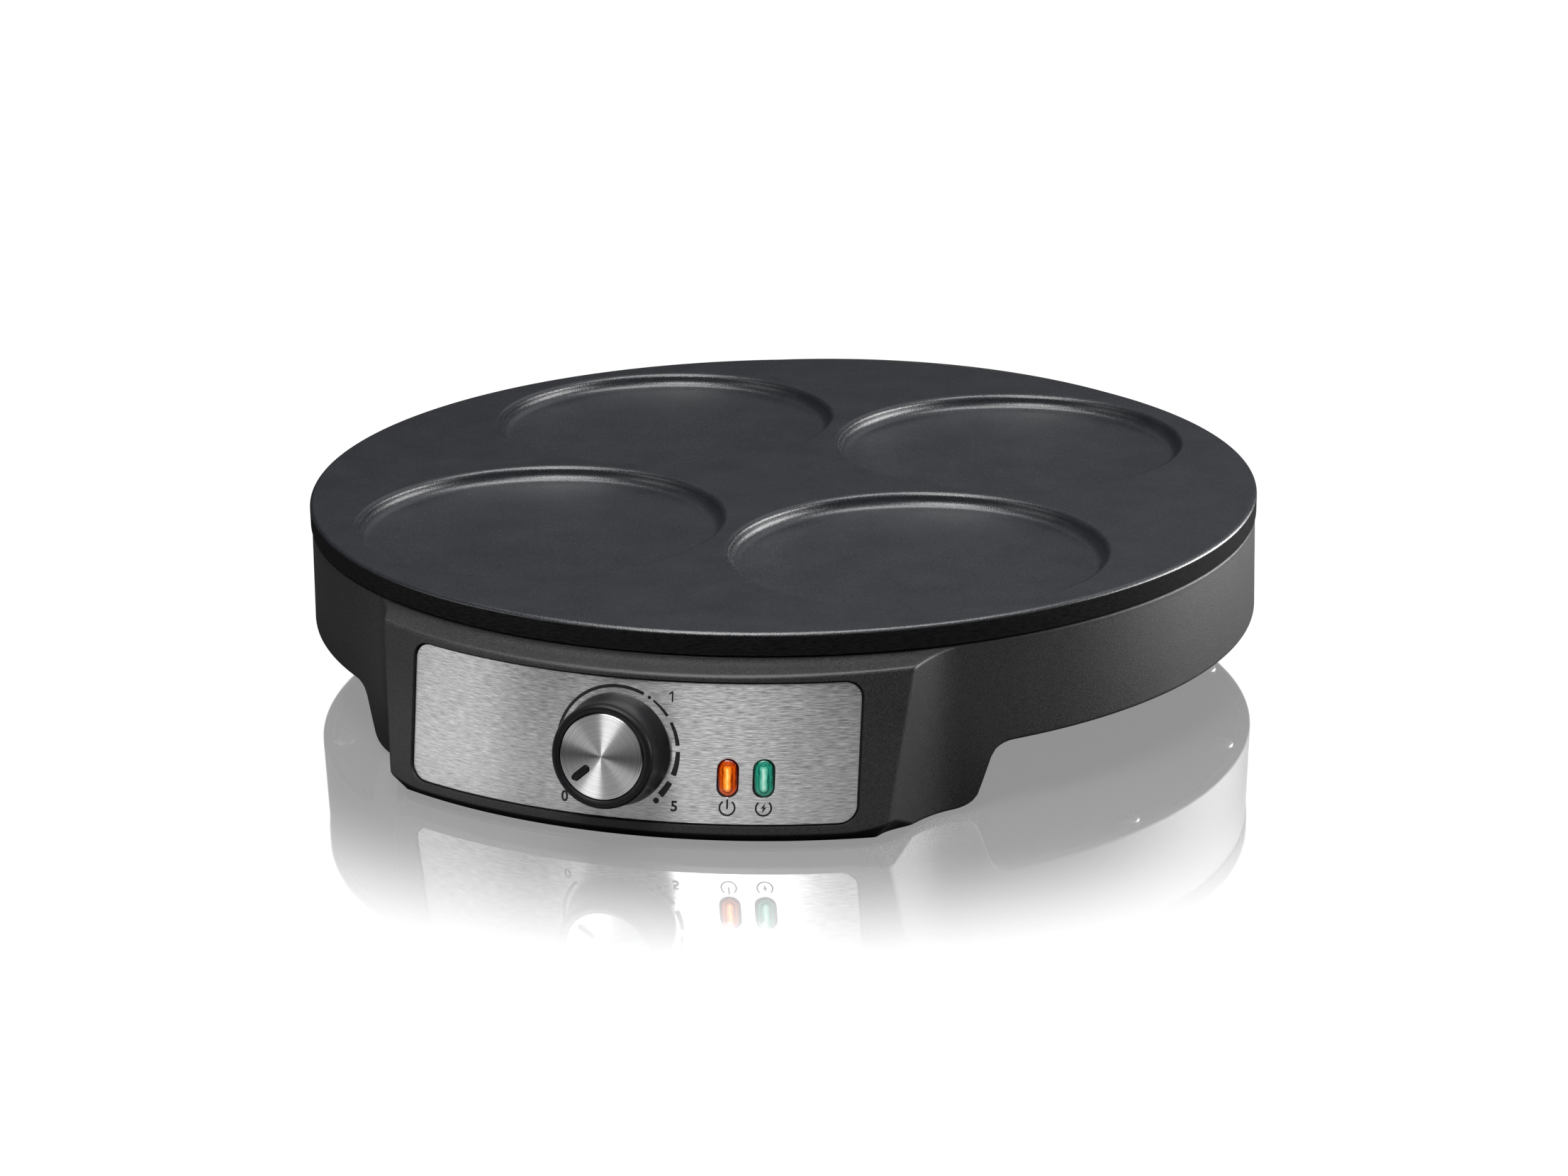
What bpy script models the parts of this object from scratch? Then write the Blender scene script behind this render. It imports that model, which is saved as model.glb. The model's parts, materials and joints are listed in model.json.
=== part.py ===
"""Electric pancake maker with a round cast plate and four shallow pans, at real size.

Lengths are metres and +Z is up. The feet stand on Z = 0, the front with its controls faces -Y,
and the origin lies under the middle of the whole object. Blender runs the file by itself.
"""
import math

import bmesh
import bpy
from mathutils import Matrix, Vector

MM = 0.001

# Fits
GAP = 0.3 * MM              # between pieces that touch
RUNNING = 0.4 * MM          # between the knob and the panel behind it
OVERRUN = 3.0 * MM          # how far a cutter passes the face that it opens
MERGE = 0.001 * MM

# Heights
FOOT_PROUD = 1.6 * MM       # rubber foot below the housing's feet
HOUSING_H = 49.2 * MM       # housing's feet to its lip
RIM_GAP = 0.35 * MM         # lip to the plate's rim
BAND_H = 30.9 * MM          # lip to the underside between the feet

# Baking plate
PLATE_R = 150.0 * MM
PLATE_RIM_H = 6.85 * MM
PLATE_EDGE = 1.3 * MM       # rounding of the plate's upper edge
PLATE_LAND = 5.2 * MM       # width of the rim's flat underside
PLATE_T = 9.0 * MM          # plate's thickness inside the rim
PAN_EDGE = 7.6 * MM         # a pan's mouth to the plate's edge
PAN_GAP = 4.384 * MM        # between the mouths of neighbouring pans
PAN_DEPTH = 4.8 * MM
PAN_WALL = 4.6 * MM         # width of a pan's sloping wall
PAN_COUNT = 4
RIDGE_DROP = 4.0 * MM       # ridge under the plate that holds the heating element
RIDGE_SIDE = 2.2 * MM       # metal at each side of the element's groove
STUD_R = 6.0 * MM           # bosses under the plate that take the long screws
STUD_H = 10.7 * MM
STUD_IN = 32.0 * MM         # plate's edge to the bosses' centres
STUD_BORE_H = 8.0 * MM

# Heating element
ELEMENT_IN = 55.0 * MM      # plate's edge to the tube's middle
ELEMENT_TUBE_R = 3.3 * MM
ELEMENT_OPEN = math.radians(8.0)   # half of the gap between its two ends, at the front
ELEMENT_BEND_R = 7.0 * MM
ELEMENT_LEG = 5.0 * MM
PIN_R = 1.3 * MM
PIN_LEN = 5.0 * MM

# Heat reflector
REFLECTOR_IN = 18.5 * MM    # plate's edge to the reflector's
REFLECTOR_T = 0.8 * MM
REFLECTOR_RIM_H = 6.4 * MM
REFLECTOR_RIM_LEAN = 3.0 * MM
REFLECTOR_EYE_R = 9.0 * MM
LEG_HOLE_R = 5.2 * MM

# Housing
WALL = 2.6 * MM
LIP_IN = 0.4 * MM           # plate's edge to the housing's lip
LIP_W = 4.3 * MM
LIP_EDGE = 0.4 * MM
BAND_DRAFT = 0.7 * MM       # how far the band widens down to its lower edge
BAND_EDGE = 0.4 * MM        # rounding of the band's lower edge
CREASE_DROP = 2.2 * MM      # lip to the crease above the middle of the front face
CREASE_RISE = 0.9 * MM      # how much higher the crease is at the lobe's corners
CREASE_EDGE = 0.6 * MM
LOBE_OUT = 9.5 * MM         # lip to the lobe's face at the crease
FACE_LEAN = math.radians(10.45)
SURROUND_TOP_W = 12.9 * MM  # panel's side to the lobe's corner, at the crease
SURROUND_FOOT_W = 7.8 * MM
TOE_H = 3.1 * MM            # bevel under the lobe's face: its height and how far it draws in
TOE_IN = 4.1 * MM
TOE_CORNER_H = 2.0 * MM     # more height at the lobe's corners
TOE_CORNER_SHARE = 0.85     # of the face, where that begins
TOE_FADE_SHARE = 0.28       # of the flank, where the bevel has run out
FLANK_W = 16.765 * MM       # along the lip, from the lobe's corner to the flank's end
FLANK_POWER = 2.1           # how hollow the flank is
CREST_RISE = 5.7 * MM       # rear lobe's crest above the lip
CREST_FALL = 1.5 * MM       # how much lower the crest is at the rear lobe's corners
CREST_CLEAR = 1.2 * MM      # rear lobe to the plate's rim
ARCH_IN = 34.9 * MM         # lip to where the arch's side would meet the flat underside
ARCH_SLOPE = math.radians(76.5)
ARCH_TOP_R = 4.8 * MM
ARCH_FOOT_R = 5.0 * MM
ARCH_LEAD = 6.583 * MM      # finely divided part of the band beside the arch
BOSS_R = 4.2 * MM
BOSS_IN = 6.0 * MM          # lip to the bosses' centres
BOSS_H = 18.0 * MM
BOSS_ANGLES = [math.radians(a) for a in (-118.0, -90.0, -62.0, 62.0, 90.0, 118.0)]

# Base cover
BASE_T = 2.5 * MM
BASE_CLEAR = 0.5 * MM
POST_R = 6.2 * MM
POST_TOP_T = 2.4 * MM       # left above the post's screw pocket
POST_H = 5.5 * MM
VENT_W = 3.0 * MM
VENT_LEN = 30.0 * MM
VENT_PITCH = 9.0 * MM
VENT_COUNT = 6
VENT_X = 34.0 * MM

# Screws
PLATE_SCREW_R = 1.9 * MM
PLATE_HEAD_R = 3.4 * MM
PLATE_HEAD_H = 2.2 * MM
PLATE_SCREW_BITE = 6.5 * MM
BASE_SCREW_R = 1.3 * MM
BASE_HEAD_R = 3.1 * MM
BASE_HEAD_H = 1.7 * MM
BASE_SCREW_BITE = 9.0 * MM
SPACER_R = 5.0 * MM

# Rubber feet
FOOT_R = 8.0 * MM
FOOT_EDGE = 0.7 * MM
FOOT_STEM_R = 3.2 * MM
FOOT_BARB_R = 4.3 * MM
FOOT_BARB_H = 3.0 * MM
FOOT_X = 50.0 * MM
FOOT_IN = 20.1 * MM         # lobe's face at the crease to the feet's centres

# Control panel and the places on it. X runs across; UP runs up the leaning face from the knob's axis.
KNOB_SHARE = 0.48983740     # lip to the knob's axis, as a share of the housing's height
PANEL_HALF_W = 66.6 * MM
PANEL_SHARE = 0.80487805    # panel's height, as a share of the housing's
PANEL_UP = 0.3 * MM         # panel's middle above the knob's axis
PANEL_CORNER_R = 4.7 * MM
PANEL_T = 0.5 * MM
PANEL_REVEAL = 0.8 * MM     # panel's face behind the surround's face
PANEL_EDGE_GAP = 0.25 * MM
LENS_XS = (31.9 * MM, 41.7 * MM)
LENS_UP = -6.4 * MM
LENS_W = 5.2 * MM
LENS_H = 10.2 * MM
LENS_PROUD = 0.9 * MM
LENS_BEVEL = 0.9 * MM
LENS_FLANGE = 1.1 * MM
LENS_FLANGE_T = 1.0 * MM
HOLDER_W = 21.0 * MM
HOLDER_SHARE = 0.2845528   # lamp holder's height, as a share of the housing's
HOLDER_T = 7.0 * MM
LAMP_R = 2.1 * MM
LAMP_LEN = 6.0 * MM

# Knob
KNOB_H = 13.0 * MM
KNOB_BASE_R = 16.0 * MM
KNOB_NECK_R = 14.5 * MM
KNOB_BEAD_R = 14.9 * MM
KNOB_SKIN = 1.9 * MM
CAP_R = 12.0 * MM
CAP_T = 0.9 * MM
CAP_INSET = 0.5 * MM        # cap's face behind the bead
POINTER_ANGLE = math.radians(131.0)   # anticlockwise from straight up, seen from the front
POINTER_NEAR_R = 4.9 * MM
POINTER_FAR_R = 10.5 * MM
POINTER_W = 1.7 * MM
HUB_R = 5.6 * MM
SHAFT_R = 3.0 * MM
SHAFT_SEAT = 8.0 * MM       # shaft's length inside the knob

# Thermostat
BRACKET_BACK = 2.9 * MM     # housing's inner wall to the bracket, at the knob's axis
BRACKET_W = 44.0 * MM
BRACKET_H = 24.0 * MM
BRACKET_T = 1.2 * MM
BRACKET_SCREW_X = 17.5 * MM
BRACKET_SCREW_BITE = 1.6 * MM
BRACKET_CORNER = 3.0 * MM
BUSH_R = 4.0 * MM
NUT_FLATS_R = 5.8 * MM
NUT_T = 2.0 * MM
CUP_R = 13.0 * MM
CUP_T = 6.0 * MM
BLOCK_W = 30.0 * MM
BLOCK_H = 22.0 * MM
BLOCK_T = 7.0 * MM
BLADE_W = 4.8 * MM
BLADE_T = 0.9 * MM
BLADE_LEN = 6.0 * MM
BLADE_X = 9.0 * MM

# Sensor bulb, thermal fuse and their clips
BULB_R = 2.6 * MM
BULB_LEN = 46.0 * MM
BULB_IN = 48.0 * MM         # heating element to the bulb's middle
CAPILLARY_R = 0.9 * MM
CAPILLARY_X = -11.5 * MM    # where it leaves the thermostat, from the knob's axis
CAPILLARY_UP = 7.0 * MM
CAPILLARY_LEAD = 5.0 * MM
CAPILLARY_BEND = 6.0 * MM
FUSE_R = 2.1 * MM
FUSE_LEN = 13.0 * MM
FUSE_X = 34.0 * MM
FUSE_IN = 37.0 * MM         # heating element to the fuse's middle
CLIP_T = 0.7 * MM
CLIP_LEN = 9.0 * MM
CLIP_WING = 5.0 * MM

# Terminal block, wires and cord inlet
TERMINAL_W = 44.0 * MM
TERMINAL_D = 16.0 * MM
TERMINAL_H = 10.0 * MM
TERMINAL_IN = 59.6 * MM     # lip to the block's middle
TERMINAL_WAY_COUNT = 5
TERMINAL_PITCH = 8.4 * MM
TERMINAL_BORE_R = 2.1 * MM
TERMINAL_BEVEL = 1.0 * MM
WIRE_R = 1.1 * MM
WIRE_LEAD = 5.0 * MM        # straight length at a wire's end
WIRE_BEND = 9.0 * MM
WIRE_ARCH_LEAD = 0.3 * MM   # arch's side to where the front wires climb over it
WIRE_ARCH_RISE = 2.2 * MM
INLET_SHARE = 0.72154472    # lip to the cord inlet's axis, as a share of the housing's height
INLET_BORE_R = 4.5 * MM
INLET_WAIST_R = 6.0 * MM
INLET_FLANGE_R = 8.4 * MM
INLET_FLANGE_T = 1.7 * MM
INLET_SNAP = 0.9 * MM
INLET_SNAP_T = 2.6 * MM

# Sides of the round pieces
PLATE_SIDE_COUNT = 60
PAN_SIDE_COUNT = 28
KNOB_SIDE_COUNT = 28
DISH_SIDE_COUNT = 24
ROUND_SIDE_COUNT = 16
SMALL_SIDE_COUNT = 10
SCREW_SIDE_COUNT = 8

# Radii and places that follow
PAN_SPACING = 2 * math.sin(math.pi / PAN_COUNT)   # neighbours' distance in centre radii
PAN_R = ((PLATE_R - PAN_EDGE) * PAN_SPACING - PAN_GAP) / (PAN_SPACING + 2)
PAN_CENTRE_R = PLATE_R - PAN_EDGE - PAN_R
STUD_CENTRE_R = PLATE_R - STUD_IN
ELEMENT_R = PLATE_R - ELEMENT_IN
REFLECTOR_R = PLATE_R - REFLECTOR_IN
LIP_R = PLATE_R - LIP_IN
FLANGE_R = LIP_R - LIP_W
BAND_FOOT_R = LIP_R + BAND_DRAFT
FACE_TOP_R = LIP_R + LOBE_OUT   # lobe's face at the crease, measured from the plate's axis
LOBE_TOP_HALF = PANEL_HALF_W + SURROUND_TOP_W
LOBE_FOOT_HALF = PANEL_HALF_W + SURROUND_FOOT_W
FLANK_END = math.asin(LOBE_TOP_HALF / FACE_TOP_R) + FLANK_W / LIP_R
ARCH_Y = LIP_R - ARCH_IN
ARCH_END = math.acos((ARCH_Y - ARCH_LEAD) / BAND_FOOT_R)
BOSS_CENTRE_R = LIP_R - BOSS_IN
FOOT_Y = FACE_TOP_R - FOOT_IN
BULB_Y = BULB_IN - ELEMENT_R
FUSE_Y = FUSE_IN - ELEMENT_R
TERMINAL_Y = LIP_R - TERMINAL_IN
WIRE_ARCH_Y = -ARCH_Y - WIRE_ARCH_LEAD

# Heights that follow
KNOB_DROP = HOUSING_H * KNOB_SHARE
PANEL_H = HOUSING_H * PANEL_SHARE
INLET_DROP = HOUSING_H * INLET_SHARE
FOOT_Z = FOOT_PROUD
LIP_Z = FOOT_Z + HOUSING_H
RIM_Z = LIP_Z + RIM_GAP
TOP_Z = RIM_Z + PLATE_RIM_H
UNDER_Z = TOP_Z - PLATE_T
RIDGE_Z = UNDER_Z - RIDGE_DROP
STUD_Z = UNDER_Z - STUD_H
REFLECTOR_Z = STUD_Z - GAP - REFLECTOR_T
BAND_Z = LIP_Z - BAND_H
FLOOR_Z = BAND_Z + BASE_T
WELL_Z = FOOT_Z + BASE_T
POST_Z = FLOOR_Z + POST_H
CREASE_Z = LIP_Z - CREASE_DROP
KNOB_Z = LIP_Z - KNOB_DROP
FACE_KNOB_R = FACE_TOP_R + (CREASE_Z - KNOB_Z) * math.tan(FACE_LEAN)
RECESS_DEPTH = PANEL_REVEAL + PANEL_T + GAP
TERMINAL_Z = FLOOR_Z + GAP + TERMINAL_H / 2

# Places along the knob's axis and behind the lenses, inwards from the housing's face
BRACKET_FRONT = -WALL - BRACKET_BACK
BRACKET_REAR = BRACKET_FRONT - BRACKET_T
CUP_FRONT = BRACKET_REAR - GAP
CUP_REAR = CUP_FRONT - CUP_T
BLOCK_REAR = CUP_REAR - BLOCK_T
SHAFT_END = CUP_REAR + PANEL_REVEAL + GAP
LENS_REAR = -WALL - GAP - LENS_FLANGE_T
HOLDER_REAR = LENS_REAR - 2 * GAP - HOLDER_T
HOLDER_H = HOUSING_H * HOLDER_SHARE

# The knob reaches further forward than the rear lobe reaches back, and the origin lies midway.
KNOB_REACH = (FACE_KNOB_R + (KNOB_H - PANEL_REVEAL) * math.cos(FACE_LEAN)
              + CAP_R * math.sin(FACE_LEAN))
REAR_REACH = (FACE_TOP_R + (INLET_DROP - CREASE_DROP) * math.tan(FACE_LEAN)
              + (GAP + INLET_FLANGE_T) * math.cos(FACE_LEAN)
              + (INLET_FLANGE_R - INLET_SNAP) * math.sin(FACE_LEAN))
AXIS_Y = (KNOB_REACH - REAR_REACH) / 2

for old in list(bpy.data.objects):
    bpy.data.objects.remove(old)

PARTS = bpy.data.collections.new("pancake_maker")
CUTTERS = bpy.data.collections.new("cutters")
bpy.context.scene.collection.children.link(PARTS)
bpy.context.scene.collection.children.link(CUTTERS)


def material(name, colour, roughness, metallic=0.0, transmission=0.0):
    """Principled material with one plain finish."""
    mat = bpy.data.materials.new(name)
    mat.use_nodes = True
    shader = mat.node_tree.nodes["Principled BSDF"]
    shader.inputs["Base Color"].default_value = (*colour, 1.0)
    shader.inputs["Roughness"].default_value = roughness
    shader.inputs["Metallic"].default_value = metallic
    shader.inputs["Transmission Weight"].default_value = transmission
    mat.diffuse_color = (*colour, 1.0)
    return mat


NON_STICK = material("non_stick", (0.035, 0.036, 0.04), 0.5)
PLASTIC = material("charcoal_plastic", (0.035, 0.035, 0.036), 0.55)
STEEL = material("brushed_steel", (0.62, 0.62, 0.61), 0.35, 1.0)
SPUN = material("spun_aluminium", (0.8, 0.8, 0.8), 0.25, 1.0)
KNOB_BLACK = material("knob_black", (0.02, 0.02, 0.021), 0.4)
ORANGE = material("orange_lens", (0.85, 0.16, 0.01), 0.15, 0.0, 0.4)
GREEN = material("green_lens", (0.0, 0.45, 0.22), 0.15, 0.0, 0.4)
GLASS = material("lamp_glass", (0.9, 0.85, 0.8), 0.1, 0.0, 0.7)
ZINC = material("zinc_steel", (0.6, 0.6, 0.58), 0.4, 1.0)
TUBE_STEEL = material("element_tube", (0.3, 0.27, 0.25), 0.5, 1.0)
BRASS = material("brass", (0.75, 0.55, 0.25), 0.35, 1.0)
COPPER = material("copper", (0.75, 0.4, 0.28), 0.35, 1.0)
CERAMIC = material("ceramic", (0.8, 0.78, 0.72), 0.6)
RUBBER = material("black_rubber", (0.02, 0.02, 0.02), 0.85)
INSULATION_BROWN = material("insulation_brown", (0.2, 0.08, 0.04), 0.6)
INSULATION_BLUE = material("insulation_blue", (0.05, 0.12, 0.4), 0.6)
INSULATION_WHITE = material("insulation_white", (0.75, 0.75, 0.72), 0.6)
PALE_NYLON = material("pale_nylon", (0.72, 0.7, 0.64), 0.55)


# Building blocks

def add_object(name, mesh, mat=None, matrix=None):
    """Object in the parts' collection, or among the cutters where it has no material."""
    obj = bpy.data.objects.new(name, mesh)
    if matrix is not None:
        obj.matrix_world = matrix
    if mat is None:
        obj.hide_render = True
        obj.display_type = "WIRE"
        CUTTERS.objects.link(obj)
    else:
        obj.data.materials.append(mat)
        PARTS.objects.link(obj)
    return obj


def smooth(mesh, angle=math.radians(35.0)):
    mesh.shade_smooth()
    mesh.set_sharp_from_angle(angle=angle)


def finish_mesh(bm, name):
    """Closed mesh from bm, welded and with its faces pointing out."""
    bmesh.ops.remove_doubles(bm, verts=bm.verts, dist=MERGE)
    bmesh.ops.recalc_face_normals(bm, faces=bm.faces)
    mesh = bpy.data.meshes.new(name)
    bm.to_mesh(mesh)
    bm.free()
    smooth(mesh)
    return mesh


def place(x, y, z):
    """Matrix of a point given from the plate's axis."""
    return Matrix.Translation((x, y + AXIS_Y, z))


def face_frame(x, up):
    """Frame at a point of the front lobe's leaning face: X across, Y up the face, Z out of it."""
    radius = FACE_KNOB_R - up * math.sin(FACE_LEAN)
    turn = math.asin(x / radius)
    across = Vector((math.cos(turn), math.sin(turn), 0))
    out = Vector((across.y * math.cos(FACE_LEAN), -across.x * math.cos(FACE_LEAN), math.sin(FACE_LEAN)))
    frame = Matrix((across, out.cross(across), out)).transposed().to_4x4()
    frame.translation = (radius * across.y, AXIS_Y - radius * across.x, KNOB_Z + up * math.cos(FACE_LEAN))
    return frame


def on_face(x, up, out):
    """Point of the leaning face: across, up the face, and out of it."""
    return face_frame(x, up) @ Vector((0, 0, out))


def turned(name, profile, sides, mat=None, matrix=None, bored=False):
    """Solid of revolution about local Z, from a profile of (radius, height), top to bottom.

    A bored piece's profile is a closed outline that stays off the axis.
    """
    edges = [(i, i + 1) for i in range(len(profile) - 1)]
    if bored:
        edges.append((len(profile) - 1, 0))
    mesh = bpy.data.meshes.new(name)
    mesh.from_pydata([(r, 0, z) for r, z in profile], edges, [])
    obj = add_object(name, mesh, mat, matrix)
    screw = obj.modifiers.new("turn", "SCREW")
    screw.steps = screw.render_steps = sides
    screw.use_merge_vertices = True
    screw.merge_threshold = MERGE
    return obj


def cylinder(name, radius, low, high, sides, mat=None, matrix=None):
    """Cylinder about local Z between two heights."""
    bm = bmesh.new()
    bmesh.ops.create_cone(bm, cap_ends=True, segments=sides, radius1=radius, radius2=radius,
                          depth=high - low, matrix=Matrix.Translation((0, 0, (high + low) / 2)))
    return add_object(name, finish_mesh(bm, name), mat, matrix)


def box(name, size, centre, mat=None, matrix=None):
    """Box with the given size about a centre."""
    bm = bmesh.new()
    bmesh.ops.create_cube(bm, size=1.0, matrix=Matrix.Translation(centre) @ Matrix.Diagonal((*size, 1)))
    return add_object(name, finish_mesh(bm, name), mat, matrix)


def boxes(name, size, centres):
    """Several like boxes as one cutter."""
    bm = bmesh.new()
    for centre in centres:
        bmesh.ops.create_cube(bm, size=1.0,
                              matrix=Matrix.Translation(centre) @ Matrix.Diagonal((*size, 1)))
    return add_object(name, finish_mesh(bm, name))


def bevel(obj, width, segments=1):
    mod = obj.modifiers.new("edge", "BEVEL")
    mod.width = width
    mod.segments = segments
    mod.limit_method = "ANGLE"
    return obj


def combine(obj, other, operation):
    """Boolean with another object, which then belongs to the cutters."""
    mod = obj.modifiers.new(operation.lower(), "BOOLEAN")
    mod.object = other
    mod.operation = operation
    mod.solver = "EXACT"
    return obj


def arc(centre_r, centre_z, radius, start, end, steps):
    """Points of (radius, height) along an arc, its angles measured from straight out."""
    points = []
    for i in range(steps + 1):
        a = start + (end - start) * i / steps
        points.append((centre_r + radius * math.cos(a), centre_z + radius * math.sin(a)))
    return points


def capsule_outline(width, height, steps=6):
    """Oblong with round ends, upright, as (x, y) points."""
    radius = width / 2
    rise = height / 2 - radius
    top = [(radius * math.cos(math.pi * i / steps), rise + radius * math.sin(math.pi * i / steps))
           for i in range(steps + 1)]
    return top + [(-x, -y) for x, y in top]


def rectangle_outline(half_w, half_h, radius, steps=5):
    """Rectangle with round corners, as (x, y) points."""
    points = []
    for corner, (sx, sy) in enumerate(((1, 1), (-1, 1), (-1, -1), (1, -1))):
        for i in range(steps + 1):
            a = math.pi / 2 * (corner + i / steps)
            points.append((sx * (half_w - radius) + radius * math.cos(a),
                           sy * (half_h - radius) + radius * math.sin(a)))
    return points


def stacked(name, levels, mat=None, matrix=None):
    """Loft through like outlines: each level is a list of (x, y) points and its height."""
    bm = bmesh.new()
    rings = [[bm.verts.new((x, y, z)) for x, y in outline] for outline, z in levels]
    for low, high in zip(rings, rings[1:]):
        for i in range(len(low)):
            j = (i + 1) % len(low)
            bm.faces.new((low[i], low[j], high[j], high[i]))
    bm.faces.new(rings[0][::-1])
    bm.faces.new(rings[-1])
    return add_object(name, finish_mesh(bm, name), mat, matrix)


def flat_sheet(name, outlines, thickness):
    """Mesh of a flat sheet from closed outlines, the inner ones cutting holes, about z = 0."""
    curve = bpy.data.curves.new(name, "CURVE")
    curve.dimensions = "2D"
    curve.fill_mode = "BOTH"
    curve.extrude = thickness / 2
    for outline in outlines:
        spline = curve.splines.new("POLY")
        spline.points.add(len(outline) - 1)
        for point, (x, y) in zip(spline.points, outline):
            point.co = (x, y, 0, 1)
        spline.use_cyclic_u = True
    return mesh_of_curve(name, curve)


def mesh_of_curve(name, curve):
    """Welded mesh of a curve, which is then dropped."""
    obj = bpy.data.objects.new(name, curve)
    bpy.context.scene.collection.objects.link(obj)
    graph = bpy.context.evaluated_depsgraph_get()
    mesh = bpy.data.meshes.new_from_object(obj.evaluated_get(graph))
    bpy.data.objects.remove(obj)
    bpy.data.curves.remove(curve)
    bm = bmesh.new()
    bm.from_mesh(mesh)
    bmesh.ops.remove_doubles(bm, verts=bm.verts, dist=MERGE)
    bm.to_mesh(mesh)
    bm.free()
    return mesh


def tube(name, points, radius, mat, fineness=1):
    """Tube along points, with flat ends."""
    curve = bpy.data.curves.new(name, "CURVE")
    curve.dimensions = "3D"
    curve.bevel_depth = radius
    curve.bevel_resolution = fineness
    curve.use_fill_caps = True
    spline = curve.splines.new("POLY")
    spline.points.add(len(points) - 1)
    for point, place_ in zip(spline.points, points):
        point.co = (*place_, 1)
    mesh = mesh_of_curve(name, curve)
    smooth(mesh)
    return add_object(name, mesh, mat)


def route(knots, bend):
    """Points of a line through the knots, with each corner rounded off."""
    knots = [Vector(k) for k in knots]
    points = knots[:1]
    for before, knot, after in zip(knots, knots[1:], knots[2:]):
        reach = min(bend, (before - knot).length * 0.45, (after - knot).length * 0.45)
        enter = knot + (before - knot).normalized() * reach
        leave = knot + (after - knot).normalized() * reach
        points += [enter, (enter + 2 * knot + leave) / 4, leave]
    return points + knots[-1:]


def around(count, radius, first):
    """Places on a circle about the plate's axis."""
    return [(radius * math.cos(first + 2 * math.pi * i / count),
             radius * math.sin(first + 2 * math.pi * i / count)) for i in range(count)]


def inlet_axis():
    """Frame on the rear lobe's face whose Z points out through the cord inlet."""
    out = Vector((0, math.cos(FACE_LEAN), math.sin(FACE_LEAN)))
    across = Vector((-1, 0, 0))
    frame = Matrix((across, out.cross(across), out)).transposed().to_4x4()
    reach = FACE_TOP_R + (INLET_DROP - CREASE_DROP) * math.tan(FACE_LEAN)
    frame.translation = (0, AXIS_Y + reach, LIP_Z - INLET_DROP)
    return frame


def lying(x, y, z):
    """Matrix that lays a cylinder along Y at a point given from the plate's axis."""
    return place(x, y, z) @ Matrix.Rotation(math.pi / 2, 4, "X")


KNOB_AXIS = face_frame(0, 0)
INLET_AXIS = inlet_axis()
LAMP_MIDDLE = sum(LENS_XS) / 2
LAMP_FRAME = face_frame(LAMP_MIDDLE, LENS_UP)
STUDS = around(4, STUD_CENTRE_R, math.pi / 4)
BOSSES = [(BOSS_CENTRE_R * math.sin(a), -BOSS_CENTRE_R * math.cos(a)) for a in BOSS_ANGLES]
FEET = [(sx * FOOT_X, sy * FOOT_Y) for sx in (-1, 1) for sy in (-1, 1)]


# Baking plate

def pan_profile():
    """Profile of one pan's cutter: rounded brim, sloping wall, fillet and flat floor."""
    brim = PAN_WALL * 0.35
    fillet = PAN_WALL * 0.65
    quarter = math.pi / 2
    brim_arc = arc(PAN_R, -brim, brim, quarter * 0.85, quarter * 2, 3)
    fillet_arc = arc(PAN_R - PAN_WALL, fillet - PAN_DEPTH, fillet, 0, -quarter, 3)
    return ([(0, OVERRUN), (PAN_R + OVERRUN, OVERRUN)] + brim_arc + fillet_arc + [(0, -PAN_DEPTH)])


def make_plate():
    """Cast plate with its rim, the ridge that holds the element, studs and pans."""
    groove = ELEMENT_TUBE_R + GAP
    groove_in = ELEMENT_R - groove
    groove_out = ELEMENT_R + groove
    ridge_in = groove_in - RIDGE_SIDE
    ridge_out = groove_out + RIDGE_SIDE
    land_r = PLATE_R - PLATE_LAND
    profile = ([(0, TOP_Z)]
               + arc(PLATE_R - PLATE_EDGE, TOP_Z - PLATE_EDGE, PLATE_EDGE, math.pi / 2, 0, 3)
               + [(PLATE_R, RIM_Z), (land_r, RIM_Z), (land_r, UNDER_Z),
                  (ridge_out, UNDER_Z), (ridge_out, RIDGE_Z),
                  (groove_out, RIDGE_Z), (groove_out, RIDGE_Z + groove),
                  (groove_in, RIDGE_Z + groove), (groove_in, RIDGE_Z),
                  (ridge_in, RIDGE_Z), (ridge_in, UNDER_Z), (0, UNDER_Z)])
    plate = turned("baking_plate", profile, PLATE_SIDE_COUNT, NON_STICK, place(0, 0, 0))
    for x, y in STUDS:
        stud = cylinder("stud", STUD_R, STUD_Z, UNDER_Z + OVERRUN, ROUND_SIDE_COUNT, None, place(x, y, 0))
        combine(plate, stud, "UNION")
        bore = cylinder("stud_bore", PLATE_SCREW_R + GAP, STUD_Z - OVERRUN, STUD_Z + STUD_BORE_H,
                        SMALL_SIDE_COUNT, None, place(x, y, 0))
        combine(plate, bore, "DIFFERENCE")
    for x, y in around(PAN_COUNT, PAN_CENTRE_R, math.pi / 4):
        cutter = turned("pan_cut", pan_profile(), PAN_SIDE_COUNT, None, place(x, y, TOP_Z))
        combine(plate, cutter, "DIFFERENCE")


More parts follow.
